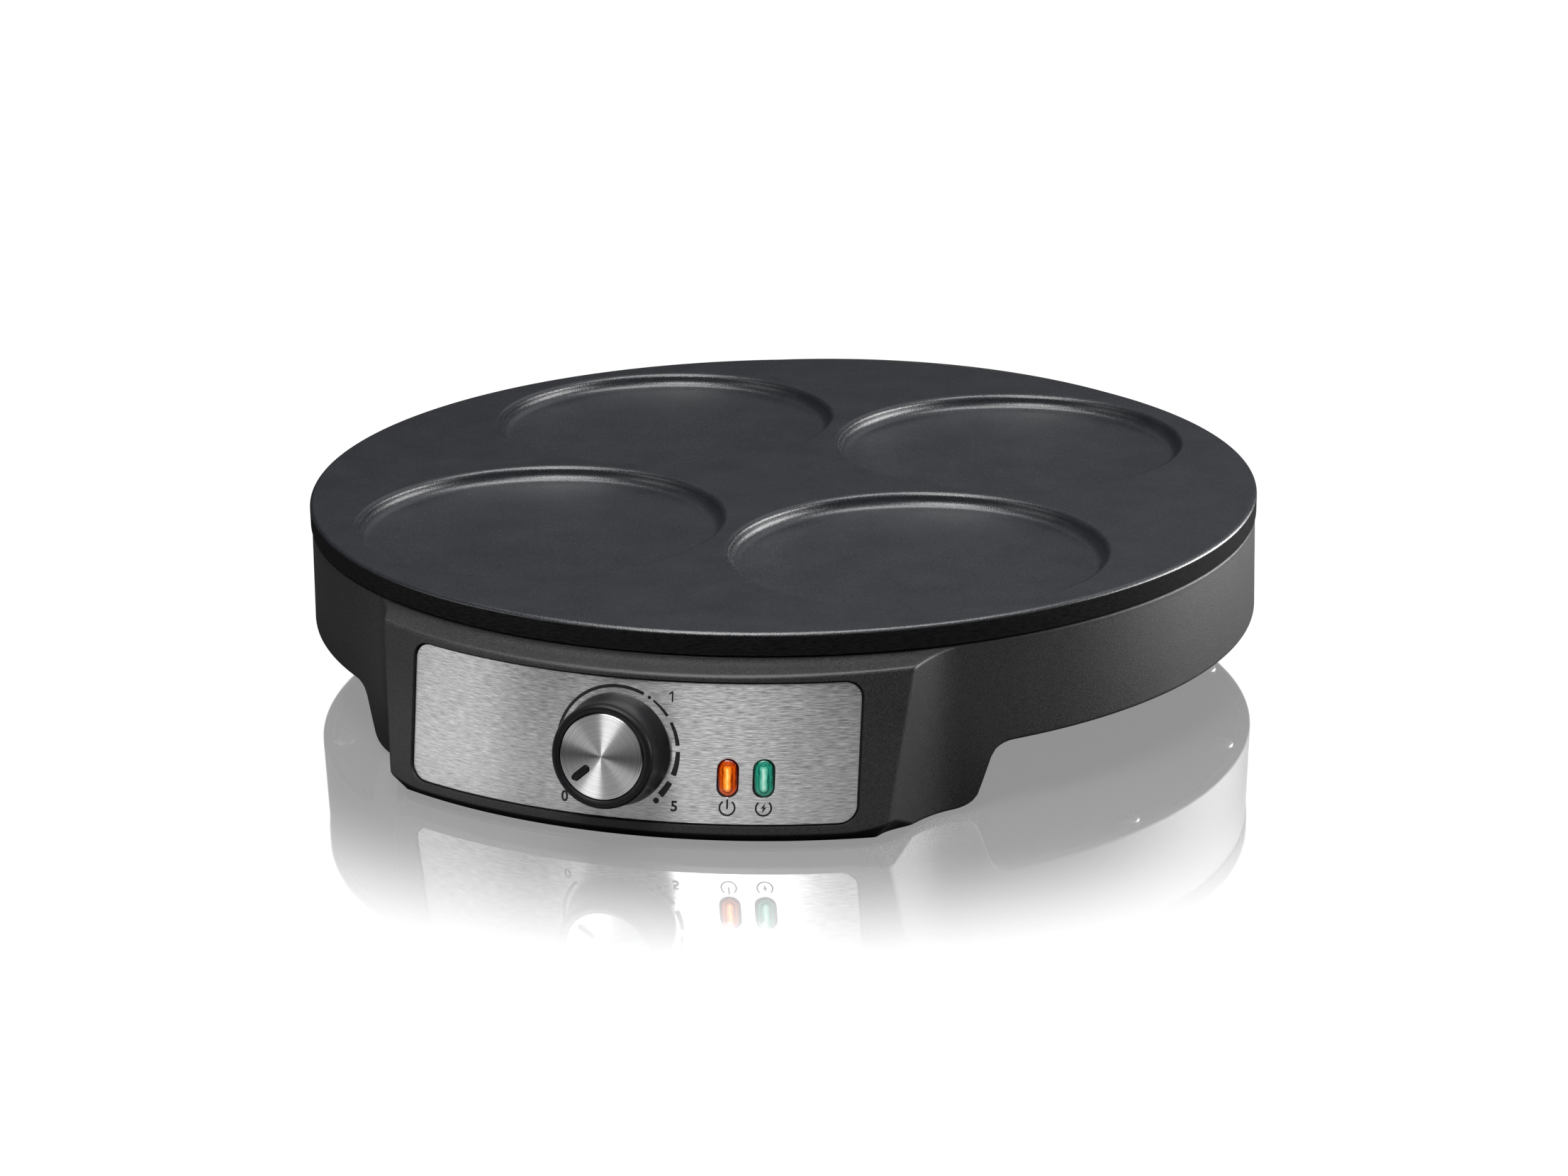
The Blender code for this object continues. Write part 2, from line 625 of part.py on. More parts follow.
def make_element():
    """Bent tube under the plate, with both ends turned down and a pin in each."""
    def ring_point(a):
        return Vector((ELEMENT_R * math.sin(a), AXIS_Y - ELEMENT_R * math.cos(a), RIDGE_Z))

    steps = 36
    start = ELEMENT_OPEN + ELEMENT_BEND_R / ELEMENT_R
    sweep = 2 * math.pi - 2 * start
    ring = [ring_point(start + sweep * i / steps) for i in range(steps + 1)]

    def leg(a, way):
        """Bend from the ring down into a straight end; way is +1 or -1 round the ring."""
        along = Vector((math.cos(a), math.sin(a), 0)) * way
        bend = [ring_point(a) + along * ELEMENT_BEND_R * math.sin(t)
                + Vector((0, 0, -ELEMENT_BEND_R * (1 - math.cos(t))))
                for t in (math.pi / 6 * k for k in range(1, 4))]
        return bend + [bend[-1] - Vector((0, 0, ELEMENT_LEG))]

    first = leg(start, -1)
    last = leg(2 * math.pi - start, 1)
    tube("heating_element", first[::-1] + ring + last, ELEMENT_TUBE_R, TUBE_STEEL, 2)
    ends = {"left": last[-1], "right": first[-1]}
    for side, end in ends.items():
        top = end.z - GAP
        cylinder(f"element_pin_{side}", PIN_R, top - PIN_LEN, top, SMALL_SIDE_COUNT, BRASS,
                 Matrix.Translation((end.x, end.y, 0)))
    return ends


def make_reflector(element_ends):
    """Pressed dish under the element, with its turned-up rim."""
    rim_foot = REFLECTOR_R - REFLECTOR_RIM_LEAN
    profile = [(REFLECTOR_R, REFLECTOR_Z + REFLECTOR_RIM_H), (rim_foot, REFLECTOR_Z),
               (REFLECTOR_EYE_R, REFLECTOR_Z)]
    dish = turned("heat_reflector", profile, DISH_SIDE_COUNT, ZINC, place(0, 0, 0))
    skin = dish.modifiers.new("sheet", "SOLIDIFY")
    skin.thickness = REFLECTOR_T
    skin.offset = -1
    skin.use_even_offset = True
    for x, y in STUDS:
        hole = cylinder("reflector_hole", PLATE_SCREW_R + GAP, REFLECTOR_Z - OVERRUN,
                        REFLECTOR_Z + OVERRUN, SMALL_SIDE_COUNT, None, place(x, y, 0))
        combine(dish, hole, "DIFFERENCE")
    for end in element_ends.values():
        hole = cylinder("leg_hole", LEG_HOLE_R, REFLECTOR_Z - OVERRUN, REFLECTOR_Z + OVERRUN,
                        SMALL_SIDE_COUNT, None, Matrix.Translation((end.x, end.y, 0)))
        combine(dish, hole, "DIFFERENCE")


# Housing

def face_radius(z):
    return FACE_TOP_R + (CREASE_Z - z) * math.tan(FACE_LEAN)


def band_radius(z):
    return LIP_R + (BAND_FOOT_R - LIP_R) * min((LIP_Z - z) / BAND_H, 1.0)


def corner_angle(z):
    """Angle from the front to the lobe's corner, which draws in towards the foot."""
    share = (CREASE_Z - z) / (CREASE_Z - FOOT_Z)
    half = LOBE_TOP_HALF + (LOBE_FOOT_HALF - LOBE_TOP_HALF) * share
    return math.asin(half / face_radius(z))


def wall_columns():
    """Columns of the front quarter: the zone's name and the share of that zone."""
    shares = {"face": [1 - (1 - i / 6) ** 1.5 for i in range(6)],
              "flank": [(i / 5) ** 1.3 for i in range(5)],
              "arch": [i / 4 for i in range(4)], "band": [i / 6 for i in range(7)]}
    return [(zone, share) for zone, places in shares.items() for share in places]


def wall_polar(zone, share, z):
    """Angle from the front and radius of the outer wall, and how much lobe is left there."""
    corner = corner_angle(z)
    band = band_radius(z)
    if zone == "face":
        return corner * share, face_radius(z), 1.0
    if zone == "flank":
        swell = (1 - share) ** FLANK_POWER
        return corner + (FLANK_END - corner) * share, band + (face_radius(z) - band) * swell, swell
    if zone == "arch":
        return FLANK_END + (ARCH_END - FLANK_END) * share, band, 0.0
    return ARCH_END + (math.pi / 2 - ARCH_END) * share, band, 0.0


def arch_outline():
    """Underside from the flat middle down to the foot, as (distance from the middle, height)."""
    turn = ARCH_SLOPE
    foot_y = ARCH_Y + (BAND_Z - FOOT_Z) / math.tan(turn)
    top_back = ARCH_TOP_R * math.tan(turn / 2)
    foot_back = ARCH_FOOT_R * math.tan(turn / 2)
    steps = 4
    points = []
    for i in range(steps + 1):
        a = turn * i / steps
        points.append((ARCH_Y - top_back + ARCH_TOP_R * math.sin(a),
                       BAND_Z - ARCH_TOP_R * (1 - math.cos(a))))
    for i in range(steps + 1):
        a = turn * (1 - i / steps)
        points.append((foot_y + foot_back - ARCH_FOOT_R * math.sin(a),
                       FOOT_Z + ARCH_FOOT_R * (1 - math.cos(a))))
    return points


ARCH = arch_outline()


def underside(y):
    """Height of the underside at a distance from the middle."""
    y = abs(y)
    if y <= ARCH[0][0]:
        return ARCH[0][1]
    for (y0, z0), (y1, z1) in zip(ARCH, ARCH[1:]):
        if y <= y1:
            return z0 + (z1 - z0) * (y - y0) / (y1 - y0)
    return ARCH[-1][1]


def plan(angle, radius):
    return Vector((radius * math.sin(angle), -radius * math.cos(angle)))


def toe_size(zone, share):
    """Height of the bevel at the foot of the wall, and how far it draws in."""
    if zone == "face":
        corner = max(0.0, (share - TOE_CORNER_SHARE) / (1 - TOE_CORNER_SHARE))
        return TOE_H + TOE_CORNER_H * corner ** 1.5, TOE_IN
    fade = max(0.0, 1 - share / TOE_FADE_SHARE) if zone == "flank" else 0.0
    height = BAND_EDGE + (TOE_H + TOE_CORNER_H - BAND_EDGE) * fade
    return height, BAND_EDGE + (TOE_IN - BAND_EDGE) * fade


def shoulder_rows(zone, share, rear):
    """Lip and shoulder of one column as (plan point, height), and how much crest it has."""
    angle, top_r, swell = wall_polar(zone, share, CREASE_Z)
    crest = swell ** 2 if rear else 0.0
    lip_r = LIP_R + (CREST_CLEAR * min(1.0, 2.2 * swell) if rear else 0.0)
    edge_z = LIP_Z - LIP_EDGE
    corner = share if zone == "face" else 1.0
    drop = CREASE_DROP - LIP_EDGE - CREASE_RISE * corner ** 2
    crest_rise = CREST_RISE - CREST_FALL * corner ** 2
    fall = drop * (top_r - LIP_R) / (FACE_TOP_R - LIP_R) * (1 - crest) - crest_rise * crest
    crease_z = edge_z - fall
    mid_r = lip_r + (top_r - CREASE_EDGE - lip_r) * 0.5 * (1 - crest) * swell + LIP_EDGE * crest
    mid_z = edge_z - fall * max(0.5, crest) - LIP_EDGE * 0.4
    ease = LIP_EDGE * (1 - swell)
    return [(plan(angle, FLANGE_R), LIP_Z), (plan(angle, lip_r - LIP_EDGE), LIP_Z),
            (plan(angle, lip_r), edge_z), (plan(angle, mid_r), mid_z),
            (plan(angle, top_r - CREASE_EDGE * swell), crease_z - ease)], crest


def column_rows(zone, share, rear):
    """Outer section of the wall at one column, top to bottom, with its foot, bevel and crest."""
    rows, crest = shoulder_rows(zone, share, rear)
    wall_z = rows[-1][1] - CREASE_EDGE
    low_z = FOOT_Z
    for _ in range(2):
        angle, radius, _ = wall_polar(zone, share, low_z)
        low_z = underside(radius * math.cos(angle))
    toe_h, toe_in = toe_size(zone, share)
    for level in (0.0, 0.45, 1.0):
        z = wall_z + (low_z + toe_h - wall_z) * level
        rows.append((plan(*wall_polar(zone, share, z)[:2]), z))
    rows.append((plan(*wall_polar(zone, share, low_z)[:2]), low_z))
    return rows, toe_in, crest


def inset(ring, distances):
    """Plan points moved inwards off a closed ring, with mitred corners."""
    count = len(ring)
    moved = []
    for i, point in enumerate(ring):
        before = (point - ring[i - 1]).normalized()
        after = (ring[(i + 1) % count] - point).normalized()
        inward_before = Vector((-before.y, before.x))
        inward_after = Vector((-after.y, after.x))
        middle = (inward_before + inward_after).normalized()
        moved.append(point + middle * distances[i] / max(middle.dot(inward_after), 0.5))
    return moved


def housing_rings():
    """Closed rings of (points, heights) that the housing is lofted through, and its bottom ring."""
    quarter = wall_columns()
    front = [column_rows(zone, share, False) for zone, share in quarter]
    rear = [column_rows(zone, share, True) for zone, share in quarter]

    def side(columns, flip_x, flip_y):
        return [([(Vector((p.x * flip_x, p.y * flip_y)), z) for p, z in rows], toe, crest)
                for rows, toe, crest in columns]

    whole = (side(front, 1, 1) + side(rear, 1, -1)[::-1][1:] + side(rear, -1, -1)[1:]
             + side(front, -1, 1)[::-1][1:-1])
    columns = [rows for rows, _, _ in whole]
    toes = [toe for _, toe, _ in whole]
    crests = [crest for _, _, crest in whole]

    def ring(row):
        return [rows[row][0] for rows in columns], [rows[row][1] for rows in columns]

    wall = [WALL] * len(columns)
    outer = [ring(row) for row in range(8)]
    foot_points, foot_z = ring(8)
    bottom = inset(foot_points, toes)
    rings = outer + [(bottom, foot_z), (inset(bottom, wall), foot_z)]
    (high, high_z), (low, low_z) = outer[5], outer[7]
    rings.append((inset(low, wall), low_z))
    inner_top_z = [z - WALL for z in outer[4][1]]
    shares = [(a - z) / (a - b) for a, b, z in zip(high_z, low_z, inner_top_z)]
    inner_top = inset([a.lerp(b, share) for a, b, share in zip(high, low, shares)], wall)
    flange, _ = outer[0]
    under_lip = []
    under_lip_z = []
    for i, crest in enumerate(crests):
        direction = flange[i].normalized()
        plain = (inner_top[i] + flange[i]) / 2
        plain_z = (inner_top_z[i] + LIP_Z - WALL) / 2
        walled = direction * (LIP_R + CREST_CLEAR + WALL)
        under_lip.append(plain.lerp(walled, crest))
        under_lip_z.append(plain_z + (LIP_Z - LIP_EDGE - WALL - plain_z) * crest)
    rings.append((inner_top, inner_top_z))
    rings.append((under_lip, under_lip_z))
    rings.append((flange, [LIP_Z - WALL] * len(columns)))
    return rings, bottom


RINGS, BOTTOM_RING = housing_rings()


def panel_outline(spare):
    outline = rectangle_outline(PANEL_HALF_W + spare, PANEL_H / 2 + spare, PANEL_CORNER_R + spare)
    return [(x, y + PANEL_UP) for x, y in outline]


def lens_outline(spare):
    return capsule_outline(LENS_W + 2 * spare, LENS_H + 2 * spare)


def panel_bends():
    """Where the rolled sheet is creased: through the middle of each hole and evenly elsewhere."""
    near, far = LENS_XS
    right = [near / 3, near * 2 / 3, near, far, far + (PANEL_HALF_W - far) / 3,
             far + (PANEL_HALF_W - far) * 2 / 3]
    return [-x for x in right[::-1]] + [0] + right


def roll_onto_face(name, outlines, thickness, middle, mat=None):
    """Flat sheet cut from outlines and rolled onto the leaning face, middle being its mid-plane."""
    mesh = flat_sheet(name, outlines, thickness)
    bm = bmesh.new()
    bm.from_mesh(mesh)
    for x in panel_bends():
        bmesh.ops.bisect_plane(bm, geom=bm.verts[:] + bm.edges[:] + bm.faces[:], dist=MERGE,
                               plane_co=(x, 0, 0), plane_no=(1, 0, 0))
    spare = [edge for edge in bm.edges if edge.calc_face_angle(0) < MERGE
             and abs(edge.verts[0].co.x - edge.verts[1].co.x) > MERGE]
    bmesh.ops.dissolve_edges(bm, edges=spare, use_verts=True)
    bmesh.ops.triangulate(bm, faces=bm.faces)
    for vert in bm.verts:
        vert.co = on_face(vert.co.x, vert.co.y, middle + vert.co.z)
    bmesh.ops.recalc_face_normals(bm, faces=bm.faces)
    bm.to_mesh(mesh)
    bm.free()
    smooth(mesh)
    return add_object(name, mesh, mat)


def make_housing():
    """Lofted shell with the panel's recess, its holes and its screw bosses."""
    bm = bmesh.new()
    verts = [[bm.verts.new((p.x, p.y + AXIS_Y, z)) for p, z in zip(points, heights)]
             for points, heights in RINGS]
    for row, low in enumerate(verts):
        high = verts[(row + 1) % len(verts)]
        for i in range(len(low)):
            j = (i + 1) % len(low)
            bm.faces.new((low[i], low[j], high[j], high[i]))
    bmesh.ops.triangulate(bm, faces=bm.faces)
    housing = add_object("housing_shell", finish_mesh(bm, "housing_shell"), PLASTIC)
    add_base_bosses(housing)
    add_bracket_bosses(housing)

    depth = RECESS_DEPTH + OVERRUN
    recess = roll_onto_face("panel_recess", [panel_outline(PANEL_EDGE_GAP)], depth, OVERRUN - depth / 2)
    combine(housing, recess, "DIFFERENCE")
    through = WALL + OVERRUN
    shaft_hole = cylinder("shaft_hole", BUSH_R + 2 * GAP, -through, OVERRUN, ROUND_SIDE_COUNT, None,
                          KNOB_AXIS)
    combine(housing, shaft_hole, "DIFFERENCE")
    for x in LENS_XS:
        slot = stacked("lens_slot", [(lens_outline(GAP), -through), (lens_outline(GAP), OVERRUN)], None,
                       face_frame(x, LENS_UP))
        combine(housing, slot, "DIFFERENCE")
    inlet = cylinder("inlet_hole", INLET_WAIST_R + GAP, -through, OVERRUN, ROUND_SIDE_COUNT, None, INLET_AXIS)
    combine(housing, inlet, "DIFFERENCE")


def add_base_bosses(housing):
    """Bosses inside the wall that take the base cover's screws."""
    low = FLOOR_Z + GAP
    for x, y in BOSSES:
        boss = cylinder("boss", BOSS_R, low, low + BOSS_H, SMALL_SIDE_COUNT, None, place(x, y, 0))
        combine(housing, boss, "UNION")
        bore = cylinder("boss_bore", BASE_SCREW_R + GAP, low - OVERRUN, low + BASE_SCREW_BITE + GAP,
                        SCREW_SIDE_COUNT, None, place(x, y, 0))
        combine(housing, bore, "DIFFERENCE")


def add_bracket_bosses(housing):
    """Bosses behind the front wall that take the thermostat's bracket."""
    seat = -WALL - BRACKET_BACK + GAP
    for side in (-1, 1):
        spot = KNOB_AXIS @ Matrix.Translation((side * BRACKET_SCREW_X, 0, seat))
        boss = cylinder("bracket_boss", BASE_HEAD_R, 0, BRACKET_BACK + WALL / 3, SMALL_SIDE_COUNT, None, spot)
        combine(housing, boss, "UNION")
        bore = cylinder("bracket_bore", BASE_SCREW_R + GAP, -OVERRUN, BRACKET_SCREW_BITE + GAP,
                        SCREW_SIDE_COUNT, None, spot)
        combine(housing, bore, "DIFFERENCE")


def make_base_cover():
    """Cover that follows the underside: flat floor, arch sides and the two foot wells."""
    reach = BAND_FOOT_R + FOOT_R * 2
    half = [(reach, FOOT_Z)] + ARCH[::-1]
    outline = [(-y, z) for y, z in half] + half[::-1]
    cover = bent_sheet("base_cover", outline, 2 * reach, BASE_T, 1, PLASTIC,
                       place(0, 0, 0) @ Matrix.Rotation(math.pi / 2, 4, "Z"))

    ring = inset(BOTTOM_RING, [WALL + BASE_CLEAR] * len(BOTTOM_RING))
    edge = [(p.x, p.y + AXIS_Y) for p in ring]
    prism = stacked("cover_outline", [(edge, FOOT_Z - OVERRUN), (edge, LIP_Z)])
    combine(cover, prism, "INTERSECT")

    for x, y in STUDS:
        spot = place(x, y, 0)
        post = cylinder("post", POST_R, BAND_Z + BASE_T / 2, POST_Z, SMALL_SIDE_COUNT, None, spot)
        combine(cover, post, "UNION")
        pocket = cylinder("post_pocket", PLATE_HEAD_R + GAP, BAND_Z - OVERRUN, POST_Z - POST_TOP_T,
                          SMALL_SIDE_COUNT, None, spot)
        combine(cover, pocket, "DIFFERENCE")
        bore = cylinder("post_bore", PLATE_SCREW_R + GAP, BAND_Z, POST_Z + OVERRUN, SCREW_SIDE_COUNT,
                        None, spot)
        combine(cover, bore, "DIFFERENCE")
    for x, y in BOSSES:
        hole = cylinder("base_screw_hole", BASE_SCREW_R + GAP, BAND_Z - OVERRUN, FLOOR_Z + OVERRUN,
                        SCREW_SIDE_COUNT, None, place(x, y, 0))
        combine(cover, hole, "DIFFERENCE")
    for x, y in FEET:
        hole = cylinder("foot_hole", FOOT_STEM_R + GAP, FOOT_Z - OVERRUN, WELL_Z + OVERRUN,
                        SMALL_SIDE_COUNT, None, place(x, y, 0))
        combine(cover, hole, "DIFFERENCE")
    centres = [(side * VENT_X, AXIS_Y + VENT_PITCH * (i - (VENT_COUNT - 1) / 2), BAND_Z + BASE_T / 2)
               for side in (-1, 1) for i in range(VENT_COUNT)]
    combine(cover, boxes("vents", (VENT_LEN, VENT_W, BASE_T + 2 * OVERRUN), centres), "DIFFERENCE")


# Fixings and feet

def make_screw(name, radius, head_r, head_h, seat, tip, mat, matrix):
    """Plain screw along local Z: pointed tip at the top, pan head hanging under its seat."""
    turned(name, [(0, tip), (radius, tip - radius), (radius, seat), (head_r, seat),
                  (head_r, seat - head_h * 0.55), (head_r * 0.7, seat - head_h), (0, seat - head_h)],
           SCREW_SIDE_COUNT, mat, matrix)


def make_fixings():
    """Long plate screws with their spacers, base screws and rubber feet."""
    low = POST_Z + GAP
    high = REFLECTOR_Z - GAP
    bore = PLATE_SCREW_R + GAP
    for i, (x, y) in enumerate(STUDS, 1):
        spot = place(x, y, 0)
        turned(f"spacer_{i}", [(bore, high), (SPACER_R, high), (SPACER_R, low), (bore, low)],
               SMALL_SIDE_COUNT, ZINC, spot, True)
        make_screw(f"plate_screw_{i}", PLATE_SCREW_R, PLATE_HEAD_R, PLATE_HEAD_H,
                   POST_Z - POST_TOP_T - GAP, STUD_Z + PLATE_SCREW_BITE, ZINC, spot)
    for i, (x, y) in enumerate(BOSSES, 1):
        make_screw(f"base_screw_{i}", BASE_SCREW_R, BASE_HEAD_R, BASE_HEAD_H,
                   BAND_Z - GAP, FLOOR_Z + GAP + BASE_SCREW_BITE, ZINC, place(x, y, 0))
    barb = WELL_Z + GAP
    for i, (x, y) in enumerate(FEET, 1):
        turned(f"rubber_foot_{i}", [(0, barb + FOOT_BARB_H), (FOOT_STEM_R * 0.6, barb + FOOT_BARB_H),
                                    (FOOT_BARB_R, barb), (FOOT_STEM_R, barb),
                                    (FOOT_STEM_R, FOOT_Z - GAP), (FOOT_R, FOOT_Z - GAP),
                                    (FOOT_R, FOOT_EDGE), (FOOT_R - FOOT_EDGE, 0), (0, 0)],
               SMALL_SIDE_COUNT, RUBBER, place(x, y, 0))


# Controls

def make_panel():
    """Steel sheet, punched flat and rolled onto the housing's face."""
    steps = ROUND_SIDE_COUNT
    hole = [(math.cos(2 * math.pi * i / steps) * (BUSH_R + 2 * GAP),
             math.sin(2 * math.pi * i / steps) * (BUSH_R + 2 * GAP)) for i in range(steps)]
    slots = [[(x + px, LENS_UP + py) for px, py in lens_outline(GAP)] for x in LENS_XS]
    roll_onto_face("control_panel", [panel_outline(0), hole] + slots, PANEL_T,
                   -PANEL_REVEAL - PANEL_T / 2, STEEL)


def make_knob():
    """Knob, its metal cap with the pointer's slot, and the shaft, all turning together."""
    frame = KNOB_AXIS @ Matrix.Translation((0, 0, -PANEL_REVEAL))
    seat = KNOB_H - CAP_INSET - CAP_T - GAP
    pocket_r = CAP_R + GAP
    inner_top = seat - KNOB_SKIN
    bore_top = RUNNING + SHAFT_SEAT + GAP
    bore_r = SHAFT_R + GAP
    profile = [(0, seat), (pocket_r, seat), (pocket_r, KNOB_H - CAP_INSET),
               ((pocket_r + KNOB_BEAD_R) / 2, KNOB_H), (KNOB_BEAD_R - CAP_INSET, KNOB_H - CAP_INSET),
               (KNOB_BEAD_R, KNOB_H * 0.84), (KNOB_NECK_R, KNOB_H * 0.66), (KNOB_NECK_R, KNOB_H * 0.45),
               (KNOB_BASE_R - CAP_INSET, KNOB_H * 0.2), (KNOB_BASE_R, RUNNING),
               (KNOB_BASE_R - KNOB_SKIN, RUNNING), (KNOB_NECK_R - KNOB_SKIN, inner_top),
               (HUB_R, inner_top), (HUB_R, RUNNING), (bore_r, RUNNING), (bore_r, bore_top), (0, bore_top)]
    knob = turned("knob_body", profile, KNOB_SIDE_COUNT, KNOB_BLACK, frame)
    middle = (POINTER_NEAR_R + POINTER_FAR_R) / 2
    length = POINTER_FAR_R - POINTER_NEAR_R
    spot = frame @ Matrix.Rotation(POINTER_ANGLE, 4, "Z") @ Matrix.Translation((0, middle, 0))
    pointer = capsule_outline(POINTER_W, length)
    ridge = stacked("pointer", [(pointer, seat - KNOB_SKIN / 2), (pointer, seat + GAP + CAP_T)], None, spot)
    combine(knob, ridge, "UNION")

    low = seat + GAP
    cap = turned("knob_cap", [(0, low + CAP_T), (CAP_R - GAP, low + CAP_T), (CAP_R, low + CAP_T - GAP),
                              (CAP_R, low), (0, low)], KNOB_SIDE_COUNT, SPUN, frame)
    opening = capsule_outline(POINTER_W + 2 * GAP, length + 2 * GAP)
    slot = stacked("pointer_slot", [(opening, low - OVERRUN), (opening, low + OVERRUN)], None, spot)
    combine(cap, slot, "DIFFERENCE")
    cylinder("thermostat_shaft", SHAFT_R, SHAFT_END, RUNNING + SHAFT_SEAT, SMALL_SIDE_COUNT, ZINC, frame)


def make_thermostat():
    """Thermostat on its bracket behind the front wall, with its bush, nut and screws."""
    eye_r = BUSH_R + GAP
    outline = rectangle_outline(BRACKET_W / 2, BRACKET_H / 2, BRACKET_CORNER, 3)
    bracket = stacked("thermostat_bracket", [(outline, BRACKET_REAR), (outline, BRACKET_FRONT)], ZINC,
                      KNOB_AXIS)
    eye = cylinder("bracket_eye", eye_r, BRACKET_REAR - OVERRUN, BRACKET_FRONT + OVERRUN, ROUND_SIDE_COUNT,
                   None, KNOB_AXIS)
    combine(bracket, eye, "DIFFERENCE")
    for i, side in enumerate((-1, 1), 1):
        spot = KNOB_AXIS @ Matrix.Translation((side * BRACKET_SCREW_X, 0, 0))
        hole = cylinder("bracket_hole", BASE_SCREW_R + GAP, BRACKET_REAR - OVERRUN,
                        BRACKET_FRONT + OVERRUN, SCREW_SIDE_COUNT, None, spot)
        combine(bracket, hole, "DIFFERENCE")
        make_screw(f"bracket_screw_{i}", BASE_SCREW_R, BASE_HEAD_R, BASE_HEAD_H, BRACKET_REAR - GAP,
                   BRACKET_FRONT + BRACKET_SCREW_BITE, ZINC, spot)

    front = -PANEL_REVEAL - GAP
    body = turned("thermostat_body",
                  [(0, front), (BUSH_R, front), (BUSH_R, CUP_FRONT), (CUP_R, CUP_FRONT),
                   (CUP_R, CUP_REAR), (0, CUP_REAR)], ROUND_SIDE_COUNT, CERAMIC, KNOB_AXIS)
    overlap = CUP_T / 2
    block = box("thermostat_block", (BLOCK_W, BLOCK_H, BLOCK_T + overlap),
                (0, 0, CUP_REAR - (BLOCK_T - overlap) / 2), None, KNOB_AXIS)
    combine(body, block, "UNION")
    for side in (-1, 1):
        blade = box("blade", (BLADE_T, BLADE_W, BLADE_LEN + overlap),
                    (side * BLADE_X, 0, BLOCK_REAR - (BLADE_LEN - overlap) / 2), None, KNOB_AXIS)
        combine(body, blade, "UNION")
    bore = cylinder("shaft_bore", SHAFT_R + GAP, SHAFT_END - PANEL_REVEAL - GAP, OVERRUN, SMALL_SIDE_COUNT,
                    None, KNOB_AXIS)
    combine(body, bore, "DIFFERENCE")

    nut_low = BRACKET_FRONT + GAP
    nut = cylinder("thermostat_nut", NUT_FLATS_R, nut_low, nut_low + NUT_T, 6, BRASS, KNOB_AXIS)
    nut_bore = cylinder("nut_bore", eye_r, nut_low - OVERRUN, nut_low + OVERRUN, ROUND_SIDE_COUNT, None,
                        KNOB_AXIS)
    combine(nut, nut_bore, "DIFFERENCE")


def make_lamps():
    """Two oblong lenses in the panel, with the holder and its neon lamps behind them."""
    flange = lens_outline(LENS_FLANGE)
    flange_low = LENS_REAR + LENS_FLANGE_T
    face = LENS_PROUD - PANEL_REVEAL
    for name, x, mat in (("lens_power", LENS_XS[0], ORANGE), ("lens_ready", LENS_XS[1], GREEN)):
        stacked(name, [(flange, LENS_REAR), (flange, flange_low), (lens_outline(0), flange_low),
                       (lens_outline(0), face - LENS_BEVEL * 0.6), (lens_outline(-LENS_BEVEL), face)],
                mat, face_frame(x, LENS_UP))
    front = LENS_REAR - 2 * GAP
    outline = rectangle_outline(HOLDER_W / 2, HOLDER_H / 2, LENS_FLANGE, 2)
    holder = stacked("lamp_holder", [(outline, HOLDER_REAR), (outline, front)], PALE_NYLON, LAMP_FRAME)
    for name, x in (("lamp_power", LENS_XS[0]), ("lamp_ready", LENS_XS[1])):
        spot = LAMP_FRAME @ Matrix.Translation((x - LAMP_MIDDLE, 0, 0))
        pocket = cylinder("lamp_pocket", LAMP_R + GAP, front - LAMP_LEN - GAP, front + OVERRUN,
                          SMALL_SIDE_COUNT, None, spot)
        combine(holder, pocket, "DIFFERENCE")
        turned(name, [(0, front), (LAMP_R * 0.7, front - LAMP_R * 0.2), (LAMP_R, front - LAMP_R * 0.7),
                      (LAMP_R, front - LAMP_LEN), (0, front - LAMP_LEN)], SMALL_SIDE_COUNT, GLASS, spot)


# Sensor, fuse, terminal block, wires and inlet

def bent_sheet(name, line, width, thickness, offset, mat, matrix):
    """Strip bent along a line of (across, height) points in its frame's XZ plane."""
    bm = bmesh.new()
    rows = [[bm.verts.new((x, side * width / 2, z)) for side in (-1, 1)] for x, z in line]
    for low, high in zip(rows, rows[1:]):
        bm.faces.new((low[0], high[0], high[1], low[1]))
    mesh = bpy.data.meshes.new(name)
    bm.to_mesh(mesh)
    bm.free()
    obj = add_object(name, mesh, mat, matrix)
    sheet = obj.modifiers.new("sheet", "SOLIDIFY")
    sheet.thickness = thickness
    sheet.offset = offset
    sheet.use_even_offset = True
    return obj


def make_clip(name, radius, x, y, top):
    """Clip over a cylinder that lies along Y under a flat face, with a wing at each side."""
    steps = 6
    bend = radius + GAP + CLIP_T / 2
    left = [(-bend - CLIP_WING, -CLIP_T / 2), (-bend, -CLIP_T / 2)]
    hoop = [(-bend * math.cos(math.pi * i / steps), -radius - bend * math.sin(math.pi * i / steps))
            for i in range(steps + 1)]
    line = left + hoop + [(-px, pz) for px, pz in left[::-1]]
    bent_sheet(name, line, CLIP_LEN, CLIP_T, 0, ZINC, place(x, y, top))


